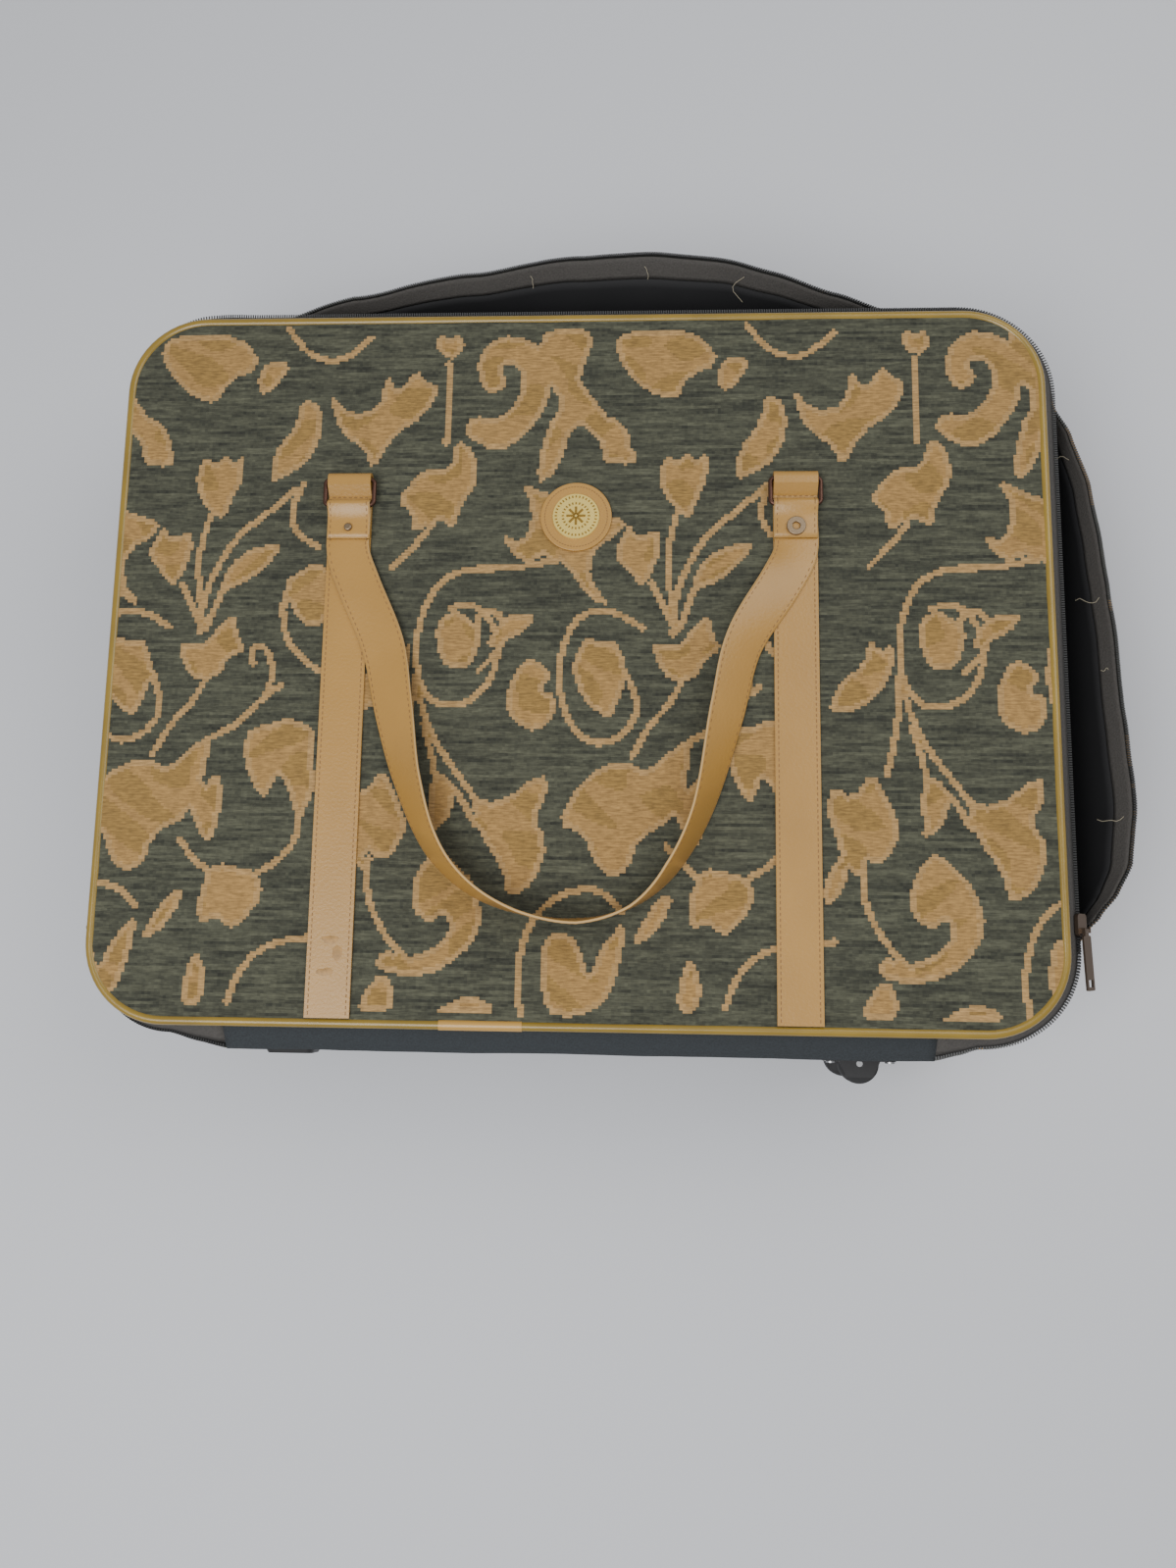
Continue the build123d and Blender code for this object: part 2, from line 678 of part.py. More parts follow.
def handle_strap(course, flat):
    """A carrying strap from ring to ring."""
    with BuildPart() as strap:
        for first, last in zip(HANDLE_RUNS, HANDLE_RUNS[1:]):
            add(handle_run(course, first, last, flat))
        add(handle_end(STRAP_LEFT_X))
        add(handle_end(STRAP_RIGHT_X))
    return strap.part


def to_back(part):
    """The same piece on the back of the case."""
    with BuildPart() as twin:
        mirror(part, about=Plane.XY.offset(mid_z))
    return twin


with BuildPart() as front_strap_left:
    add(trim_strap(STRAP_LEFT_X, front_foot_y))

with BuildPart() as front_strap_right:
    add(trim_strap(STRAP_RIGHT_X, front_foot_y))

with BuildPart() as front_ring_left:
    add(strap_ring(STRAP_LEFT_X))

with BuildPart() as front_ring_right:
    add(strap_ring(STRAP_RIGHT_X))

with BuildPart() as front_handle:
    add(handle_strap(HANDLE_COURSE, False))

rear_strap_left = to_back(trim_strap(STRAP_LEFT_X, rear_foot_y))
rear_strap_right = to_back(trim_strap(STRAP_RIGHT_X, rear_foot_y))
rear_ring_left = to_back(front_ring_left.part)
rear_ring_right = to_back(front_ring_right.part)
rear_handle = to_back(handle_strap(HANDLE_COURSE, True))

# Snap parts riveted through the handle's flaps
flap_face = under_top + STRAP_THICKNESS
with BuildPart() as snap_stud:
    with BuildSketch(Plane.XY.offset(flap_face)):
        with Locations((STRAP_LEFT_X, RIVET_Y)):
            Circle(STUD_DIAMETER / 2)
    extrude(amount=STUD_HEIGHT)
    fillet(snap_stud.faces().sort_by(Axis.Z)[-1].edges(), STUD_HEIGHT / 2)

with BuildPart() as snap_socket:
    with BuildSketch(Plane.XY.offset(flap_face)):
        with Locations((STRAP_RIGHT_X, RIVET_Y)):
            Circle(SOCKET_DIAMETER / 2)
            Circle(SOCKET_BORE / 2, mode=Mode.SUBTRACT)
    extrude(amount=SOCKET_HEIGHT)
    rim = snap_socket.edges().filter_by(GeomType.CIRCLE).group_by(Axis.Z)[-1]
    fillet(rim, SOCKET_HEIGHT / 4)

# Round medallion: a leather patch sewn to the panel with a metal disc on it
with BuildPart() as medallion_patch:
    with BuildSketch(Plane.XY.offset(CASE_DEPTH)):
        with Locations((0, MEDALLION_Y)):
            Circle(PATCH_DIAMETER / 2)
    extrude(amount=PATCH_THICKNESS)
    fillet(medallion_patch.faces().sort_by(Axis.Z)[-1].edges(), PATCH_THICKNESS / 3)

with BuildPart() as medallion_disc:
    with BuildSketch(Plane.XY.offset(CASE_DEPTH + PATCH_THICKNESS)):
        with Locations((0, MEDALLION_Y)):
            Circle(DISC_DIAMETER / 2)
    extrude(amount=DISC_THICKNESS)
    chamfer(medallion_disc.faces().sort_by(Axis.Z)[-1].edges(), DISC_THICKNESS / 3)


def leaf(x, y, heading, length, width):
    """A pointed leaf: two arcs that meet at both tips."""
    with BuildSketch(mode=Mode.PRIVATE) as shape:
        with BuildLine():
            ThreePointArc((-length / 2, 0), (0, width / 2), (length / 2, 0))
            ThreePointArc((length / 2, 0), (0, -width / 2), (-length / 2, 0))
        make_face()
    return shape.sketch.moved(Location((x, y, 0), (0, 0, heading)))


# Woven figure as raised fields of the lighter yarn, clear of the straps and medallion
with BuildPart() as woven_motifs:
    with BuildSketch(Plane.XY.offset(CASE_DEPTH)):
        for row in LEAVES:
            add(leaf(*row))
        for cx, cy, radius, start, sweep_angle in VINES:
            with BuildLine(mode=Mode.PRIVATE) as stem:
                CenterArc((cx, cy), radius, start, sweep_angle)
            trace(stem.line, VINE_WIDTH)
        rounded_rectangle(PIPING_DIAMETER + CLEARANCE, Mode.INTERSECT)
        with Locations((0, MEDALLION_Y)):
            Circle(PATCH_DIAMETER / 2 + CLEARANCE, mode=Mode.SUBTRACT)
        strap_run = RING_TOP_Y + half_width
        for x in (STRAP_LEFT_X, STRAP_RIGHT_X):
            with Locations((x, (RING_TOP_Y - half_width) / 2)):
                Rectangle(STRAP_WIDTH + CLEARANCE, strap_run + RING_BAR * 4, mode=Mode.SUBTRACT)
    extrude(amount=MOTIF_RELIEF)

# Wheel housings: a flange, a cup sunk through the bottom, and two cheeks for the axle
flange_y = plateau_y - PANEL_GAP / 2


def wheel_housing(z):
    """One housing, drawn looking along -Y with X across and Z up."""
    outward = Plane(origin=(WHEEL_X, flange_y, z), x_dir=(1, 0, 0), z_dir=(0, -1, 0))
    side = Plane(origin=(WHEEL_X, 0, z - cup_width / 2), x_dir=(1, 0, 0), z_dir=(0, 0, 1))
    with BuildPart() as housing:
        with BuildSketch(outward):
            RectangleRounded(FLANGE_LENGTH, FLANGE_WIDTH, FLANGE * 2)
        extrude(amount=FLANGE)
        with BuildSketch(outward.offset(flange_y - cup_top_y)):
            Rectangle(cup_length, cup_width)
        extrude(amount=cup_top_y - flange_y)
        with BuildSketch(side):
            with BuildLine():
                Polyline(
                    (-CHEEK_BASE / 2, flange_y - FLANGE),
                    (-CHEEK_END / 2, flange_y - CHEEK_DEPTH),
                    (CHEEK_END / 2, flange_y - CHEEK_DEPTH),
                    (CHEEK_BASE / 2, flange_y - FLANGE),
                    close=True,
                )
            make_face()
        extrude(amount=cup_width)
        with BuildSketch(side.offset(HOUSING_WALL)):
            with Locations((0, axle_y)):
                Circle(WHEEL_DIAMETER / 2 + WHEEL_GAP)
            with Locations((0, axle_y - WHEEL_DIAMETER / 2)):
                Rectangle(cup_length - 2 * HOUSING_WALL, WHEEL_DIAMETER)
        extrude(amount=cup_width - 2 * HOUSING_WALL, mode=Mode.SUBTRACT)
        with BuildSketch(side):
            with Locations((0, axle_y)):
                Circle(AXLE_DIAMETER / 2)
        extrude(amount=cup_width, mode=Mode.SUBTRACT)
        add(drills, mode=Mode.SUBTRACT)
    return housing


def wheel(z):
    """A plain rubber wheel on its bore."""
    base = Plane(origin=(WHEEL_X, axle_y, z - WHEEL_WIDTH / 2), z_dir=(0, 0, 1))
    with BuildPart() as disc:
        with BuildSketch(base):
            Circle(WHEEL_DIAMETER / 2)
            Circle(AXLE_DIAMETER / 2 + AXLE_PLAY, mode=Mode.SUBTRACT)
        extrude(amount=WHEEL_WIDTH)
        tread = disc.edges().filter_by(GeomType.CIRCLE).group_by(SortBy.RADIUS)[-1]
        fillet(tread, WHEEL_WIDTH / 8)
    return disc


def wheel_axle(z):
    """The axle pin, fixed in both cheeks."""
    base = Plane(origin=(WHEEL_X, axle_y, z - cup_width / 2), z_dir=(0, 0, 1))
    with BuildPart() as pin:
        with BuildSketch(base):
            Circle(AXLE_DIAMETER / 2)
        extrude(amount=cup_width)
    return pin


wheel_housing_upper = wheel_housing(UPPER_Z)
wheel_housing_lower = wheel_housing(LOWER_Z)
wheel_upper = wheel(UPPER_Z)
wheel_lower = wheel(LOWER_Z)
axle_upper = wheel_axle(UPPER_Z)
axle_lower = wheel_axle(LOWER_Z)


def rivet(x, z):
    """A rivet from the flange through cloth, lining and board, headed at both ends."""
    outer_y = flange_y - FLANGE
    inner_y = plateau_y + lining_face + LINING + PANEL_GAP + BOARD
    along = Plane(origin=(x, outer_y - RIVET_HEAD_HEIGHT, z), x_dir=(1, 0, 0), z_dir=(0, 1, 0))
    grip = inner_y - outer_y
    with BuildPart() as pin:
        with BuildSketch(along):
            Circle(RIVET_HEAD / 2)
        extrude(amount=RIVET_HEAD_HEIGHT)
        with BuildSketch(along.offset(RIVET_HEAD_HEIGHT)):
            Circle(RIVET_DIAMETER / 2)
        extrude(amount=grip)
        with BuildSketch(along.offset(RIVET_HEAD_HEIGHT + grip)):
            Circle(RIVET_HEAD / 2)
        extrude(amount=RIVET_HEAD_HEIGHT)
    return pin.part


# Eight like rivets hold the two housings
with BuildPart() as wheel_rivets:
    for rivet_z in (UPPER_Z, LOWER_Z):
        for x, z in flange_corners(rivet_z):
            add(rivet(x, z))


def foot(z):
    """A tapered foot that levels the case with its wheels."""
    face = Plane(origin=(FOOT_X, flange_y, z), x_dir=(1, 0, 0), z_dir=(0, -1, 0))
    with BuildPart() as block:
        with BuildSketch(face):
            RectangleRounded(FOOT_LENGTH, FOOT_WIDTH, FOOT_TAPER)
        with BuildSketch(face.offset(FOOT_HEIGHT)):
            RectangleRounded(FOOT_LENGTH - FOOT_TAPER, FOOT_WIDTH - FOOT_TAPER, FOOT_TAPER)
        loft(ruled=True)
        with BuildSketch(face):
            Circle(RIVET_DIAMETER / 2)
        extrude(amount=FOOT_HEIGHT / 2, mode=Mode.SUBTRACT)
    return block


foot_upper = foot(UPPER_Z)
foot_lower = foot(LOWER_Z)

# One screw from inside into each foot
with BuildPart() as foot_screws:
    for z in (UPPER_Z, LOWER_Z):
        inner_y = plateau_y + lining_face + LINING + PANEL_GAP + BOARD
        inward = Plane(origin=(FOOT_X, inner_y, z), x_dir=(1, 0, 0), z_dir=(0, -1, 0))
        with BuildSketch(inward.offset(-RIVET_HEAD_HEIGHT)):
            Circle(RIVET_HEAD / 2)
        extrude(amount=RIVET_HEAD_HEIGHT)
        with BuildSketch(inward):
            Circle(RIVET_DIAMETER / 2)
        extrude(amount=inner_y - flange_y + FOOT_HEIGHT / 2)

# Zip sliders ride on the lid's half of the zip; the pull swings on the slider's pin
coil_mid_z = skirt_low + COIL_HEIGHT / 2
pin_height = SLIDER_HEIGHT / 2 + KNUCKLE_DIAMETER / 2 + CLEARANCE
pin_place = SLIDER_LENGTH / 4


def slider_frame(side, y, reach):
    """The slider's own plane: x the way the pull lies, z square to the zip, outward."""
    fall_out = reach + SKIRT_TOP_INSET
    fall_down = skirt_top - skirt_low
    slope = hypot(fall_out, fall_down)
    mid_reach = skirt_reach((0, 0, 0, 0, 0, 0, reach), coil_mid_z)
    mid_reach = mid_reach - SKIRT_TAPE + COIL_DEPTH / 2
    origin = (side * (half_length + mid_reach), y, coil_mid_z)
    facing = (side * fall_down / slope, 0, fall_out / slope)
    return Plane(origin=origin, x_dir=(0, -1, 0), z_dir=facing)


def swing(frame, lean):
    """The slider's plane with its x turned, in the plane, to where the pull hangs."""
    turn = radians(lean)
    along = frame.x_dir * cos(turn) + frame.y_dir * sin(turn)
    return Plane(origin=frame.origin, x_dir=along, z_dir=frame.z_dir)


def slider(frame, side, y, lean):
    """A slider body with a channel for coil and tape, two ears and a pin."""
    swung = swing(frame, lean)
    with BuildPart() as body:
        with BuildSketch(frame.offset(-SLIDER_HEIGHT / 2)):
            RectangleRounded(SLIDER_LENGTH, SLIDER_WIDTH, SLIDER_WIDTH / 4)
        extrude(amount=SLIDER_HEIGHT)
        add(slider_channel(side, y), mode=Mode.SUBTRACT)
        split(bisect_by=Plane.XY.offset(HINGE_HEIGHT - CLEARANCE * 3), keep=Keep.TOP)
        for edge in (-1, 1):
            ear = edge * (KNUCKLE_WIDTH / 2 + PANEL_GAP + EAR_WIDTH / 2)
            face = swung.offset(SLIDER_HEIGHT / 2 - CLEARANCE)
            with BuildSketch(face):
                with Locations((pin_place, ear)):
                    Rectangle(KNUCKLE_DIAMETER, EAR_WIDTH)
            extrude(amount=pin_height - SLIDER_HEIGHT / 2 + KNUCKLE_DIAMETER / 2 + CLEARANCE)
        span = KNUCKLE_WIDTH + 2 * PANEL_GAP + 2 * EAR_WIDTH
        start = swung.from_local_coords((pin_place, -span / 2, pin_height))
        with BuildSketch(Plane(origin=start, z_dir=swung.y_dir)):
            Circle(PIN_DIAMETER / 2)
        extrude(amount=span)
    return body


def slider_channel(side, y):
    """The room that a slider leaves for the lid's coil and tape, a straight run along Y."""
    reach = ZIP_REACH if side > 0 else 0.0
    station = (0, 0, 0, 0, 0, 0, reach)
    top = skirt_reach(station, skirt_top)
    play = SLIDER_PLAY
    floor_z = skirt_low - play
    low = skirt_reach(station, floor_z)
    neck = skirt_reach(station, skirt_low + COIL_HEIGHT)
    thick = SKIRT_TAPE
    points = [
        (top + SLIDER_TAPE_PLAY, skirt_top),
        (neck + SLIDER_TAPE_PLAY, skirt_low + COIL_HEIGHT + play),
        (neck - thick + COIL_DEPTH + play, skirt_low + COIL_HEIGHT + play),
        (low - thick + COIL_DEPTH + play, floor_z),
        (low - thick - play, floor_z),
        (neck - thick - SLIDER_TAPE_PLAY, skirt_low + COIL_HEIGHT + play),
        (top - thick - SLIDER_TAPE_PLAY, skirt_top),
    ]
    with BuildPart() as room:
        across = Plane(origin=(0, y, 0), x_dir=(side, 0, 0), z_dir=(0, -side, 0))
        with BuildSketch(across):
            with BuildLine():
                Polyline(*[(half_length + u, z) for u, z in points], close=True)
            make_face()
        extrude(amount=SLIDER_LENGTH, both=True)
    return room.part


def slider_pull(frame, lean):
    """A flat metal pull with a knuckle at one end and a hole at the other."""
    swung = swing(frame, lean)
    level = swung.offset(pin_height - PULL_THICKNESS / 2)
    neck_end = pin_place + KNUCKLE_DIAMETER
    tip = pin_place + PULL_LENGTH
    with BuildPart() as pull:
        with BuildSketch(level):
            with Locations(((pin_place + neck_end) / 2, 0)):
                Rectangle(neck_end - pin_place, KNUCKLE_WIDTH)
            with Locations(((neck_end + tip) / 2, 0)):
                RectangleRounded(tip - neck_end, PULL_WIDTH, PULL_WIDTH / 8)
            with Locations((tip - PULL_HOLE, 0)):
                Rectangle(PULL_HOLE, PULL_HOLE, mode=Mode.SUBTRACT)
        extrude(amount=PULL_THICKNESS)
        start = swung.from_local_coords((pin_place, -KNUCKLE_WIDTH / 2, pin_height))
        with BuildSketch(Plane(origin=start, z_dir=swung.y_dir)):
            Circle(KNUCKLE_DIAMETER / 2)
        extrude(amount=KNUCKLE_WIDTH)
        with BuildSketch(Plane(origin=start, z_dir=swung.y_dir)):
            Circle(PIN_DIAMETER / 2 + PANEL_GAP / 2)
        extrude(amount=KNUCKLE_WIDTH, mode=Mode.SUBTRACT)
    return pull


frame_right = slider_frame(1, SLIDER_RIGHT_Y, ZIP_REACH)
frame_left = slider_frame(-1, SLIDER_LEFT_Y, 0.0)
slider_right = slider(frame_right, 1, SLIDER_RIGHT_Y, PULL_LEAN_RIGHT)
slider_left = slider(frame_left, -1, SLIDER_LEFT_Y, PULL_LEAN_LEFT)
pull_right = slider_pull(frame_right, PULL_LEAN_RIGHT)
pull_left = slider_pull(frame_left, PULL_LEAN_LEFT)

pieces = {
    "back_panel": back_panel,
    "back_board": back_board,
    "back_lining": back_lining,
    "side_wall": side_wall,
    "bottom_gusset": bottom_gusset,
    "wall_lining": wall_lining,
    "bottom_board": bottom_board,
    "rear_piping": rear_piping,
    "rear_zip_tape": rear_zip_tape,
    "rear_zip_coil": rear_zip_coil,
    "rear_strap_left": rear_strap_left,
    "rear_strap_right": rear_strap_right,
    "rear_ring_left": rear_ring_left,
    "rear_ring_right": rear_ring_right,
    "rear_handle": rear_handle,
    "wheel_housing_upper": wheel_housing_upper,
    "wheel_housing_lower": wheel_housing_lower,
    "axle_upper": axle_upper,
    "axle_lower": axle_lower,
    "wheel_upper": wheel_upper,
    "wheel_lower": wheel_lower,
    "wheel_rivets": wheel_rivets,
    "foot_upper": foot_upper,
    "foot_lower": foot_lower,
    "foot_screws": foot_screws,
    "front_panel": front_panel,
    "woven_motifs": woven_motifs,
    "front_board": front_board,
    "front_lining": front_lining,
    "front_piping": front_piping,
    "piping_sleeve": piping_sleeve,
    "hinge_flap": hinge_flap,
    "front_zip_tape": front_zip_tape,
    "front_zip_coil": front_zip_coil,
    "front_strap_left": front_strap_left,
    "front_strap_right": front_strap_right,
    "front_ring_left": front_ring_left,
    "front_ring_right": front_ring_right,
    "front_handle": front_handle,
    "snap_stud": snap_stud,
    "snap_socket": snap_socket,
    "medallion_patch": medallion_patch,
    "medallion_disc": medallion_disc,
    "slider_right": slider_right,
    "slider_left": slider_left,
    "pull_right": pull_right,
    "pull_left": pull_left,
}

# The origin goes under the middle of the whole outline, slack walls and wheels included
boxes = [piece.part.bounding_box() for piece in pieces.values()]
middle_x = (min(box.min.X for box in boxes) + max(box.max.X for box in boxes)) / 2
middle_y = (min(box.min.Y for box in boxes) + max(box.max.Y for box in boxes)) / 2
shift = Location((-middle_x, -middle_y, 0))

os.makedirs("parts", exist_ok=True)
for name, piece in pieces.items():
    placed = piece.part.moved(shift)
    placed.label = name
    export_step(placed, f"parts/{name}.step")
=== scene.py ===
import math

import bpy
import numpy as np
from mathutils import Matrix, Vector, noise


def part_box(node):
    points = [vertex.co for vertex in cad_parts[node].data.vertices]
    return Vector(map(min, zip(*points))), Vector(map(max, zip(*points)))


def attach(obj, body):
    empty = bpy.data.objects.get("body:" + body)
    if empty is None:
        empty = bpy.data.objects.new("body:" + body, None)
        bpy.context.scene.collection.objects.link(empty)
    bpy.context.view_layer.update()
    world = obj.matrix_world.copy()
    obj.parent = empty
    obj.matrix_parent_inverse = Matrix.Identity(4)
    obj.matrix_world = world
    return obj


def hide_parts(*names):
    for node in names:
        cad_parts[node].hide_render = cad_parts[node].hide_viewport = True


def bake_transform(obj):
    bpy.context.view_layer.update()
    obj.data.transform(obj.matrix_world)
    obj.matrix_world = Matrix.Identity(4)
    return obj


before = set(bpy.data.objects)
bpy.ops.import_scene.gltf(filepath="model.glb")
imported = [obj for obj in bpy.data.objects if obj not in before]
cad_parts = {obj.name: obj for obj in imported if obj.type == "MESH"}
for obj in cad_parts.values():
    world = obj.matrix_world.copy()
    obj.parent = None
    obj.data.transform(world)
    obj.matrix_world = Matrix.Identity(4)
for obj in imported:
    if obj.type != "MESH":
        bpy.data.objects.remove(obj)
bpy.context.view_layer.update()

# Places come from the frame: the lid's piping gives the middle and size of the lid
MM = 0.001
BACK_CLOTH = 2.0
piping_low, piping_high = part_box("front_piping")
CENTRE = (piping_low + piping_high) / 2
HALF_LENGTH = (piping_high.x - piping_low.x) / 2 / MM
HALF_WIDTH = (piping_high.y - piping_low.y) / 2 / MM
CORNER = 53.0
STRAIGHT_X = HALF_LENGTH - CORNER
STRAIGHT_Y = HALF_WIDTH - CORNER
PANEL_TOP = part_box("front_panel")[1].z / MM
BACK_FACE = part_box("back_board")[0].z / MM - BACK_CLOTH
MIRROR_Z = PANEL_TOP + BACK_FACE

# Heights of the soft wall, of the zip and of the cloth hinge
WALL_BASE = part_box("side_wall")[0].z / MM
WALL_FULL = 25.0
WALL_INSET = 2.0
WALL_RISE_POWER = 0.5
WALL_FLARE_POWER = 1.7
RIM_HEIGHT = 151.0
RIM_DROP = 10.0
SKIRT_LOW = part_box("front_zip_coil")[0].z / MM
SKIRT_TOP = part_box("front_zip_tape")[1].z / MM
SKIRT_INSET = 3.0
HINGE_LEFT = -218.0
HINGE_RIGHT = 227.0
HINGE_REACH = 14.7
HINGE_SEAM = 150.0
CLOTH = 2.0
TAPE_WIDTH = 12.0
LINING_FACE = 2.2
LINING = 0.8
REAR_TAPE = 1.0
FRONT_TAPE = 1.4
TAPE_GAP = 0.2
COIL_HEIGHT = 2.4
COIL_DEPTH = 2.2
COIL_PITCH = 1.6
TURN_LENGTH = 0.95
REAR_COIL_INSET = 2.1
FRONT_COIL_INSET = 0.3

# Straps and handles
STRAP_WIDTH = 28.5
STRAP_THICKNESS = 1.8
LEFT_X = -150.0
RIGHT_X = 143.0
BAR_Y = 101.0
BAR_Z = (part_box("front_ring_left")[0].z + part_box("front_ring_left")[1].z) / 2 / MM
UNDER_MID = PANEL_TOP + STRAP_THICKNESS * 1.5 + 0.3
BAR_ROOM = 2.7
STITCH_PITCH = 3.6
STITCH_MARGIN = 2.2
TRIM_STITCH_MARGIN = 2.3
TRIM_FOOT = 9.0
TRIM_END = 104.0
TURNED_END = 105.5
FLAP_END = 78.0
COURSE = [
    (-150.0, 70.0, 0.0), (-142.0, 48.0, 1.0), (-124.0, 6.0, 5.0), (-114.0, -39.0, 22.0),
    (-103.0, -83.0, 46.0), (-86.0, -125.0, 62.0), (-62.0, -151.0, 76.0), (-30.0, -166.0, 90.0),
    (6.0, -171.0, 97.0), (38.0, -162.0, 92.0), (62.0, -140.0, 76.0), (82.0, -102.0, 64.0),
    (98.0, -38.0, 38.0), (109.0, 7.0, 30.0), (134.0, 50.0, 10.0), (143.0, 70.0, 0.0),
]

# Reach of the slack rim and the swell of the wall along each side, as shares of a side
BOTTOM = [(-1.0, 5.0, 5.0), (-0.92, 11.0, 11.0), (-0.855, 14.7, 14.7), (0.89, 14.7, 14.7),
          (0.95, 11.0, 11.0), (1.0, 7.0, 7.0)]
RIGHT = [(-1.0, 8.0, 4.0), (-0.97, 12.0, 4.0), (-0.93, 17.0, 4.0), (-0.88, 26.0, 4.0),
         (-0.79, 39.0, 4.0), (-0.69, 49.0, 4.0), (-0.45, 55.0, 4.0), (-0.12, 52.0, 4.0),
         (0.3, 48.0, 4.0), (0.68, 39.0, 4.0), (0.88, 27.0, 4.0), (1.0, 15.0, 4.0)]
TOP = [(-1.0, 8.0, 4.0), (-0.86, 17.0, 4.0), (-0.69, 36.0, 4.0), (-0.52, 54.0, 4.0),
       (-0.36, 66.0, 4.0), (-0.18, 72.0, 4.0), (0.0, 70.0, 4.0), (0.32, 57.0, 4.0),
       (0.64, 37.0, 4.0), (0.875, 14.0, 4.0), (1.0, 3.0, 4.0)]
LEFT = [(-1.0, -5.0, 3.0), (-0.6, -7.0, 3.0), (0.5, -7.0, 3.0), (1.0, -3.0, 3.0)]
ZIP_REACH = 11.0

# The slack of the cloth: the reach at which it is fully loose, and the sizes of its waves
FULL_SLACK = 60.0
WAVE = 1.9
FINE_WAVE = 0.35
STEADY_SHARE = 0.15
RIM_WAVE = 1.2

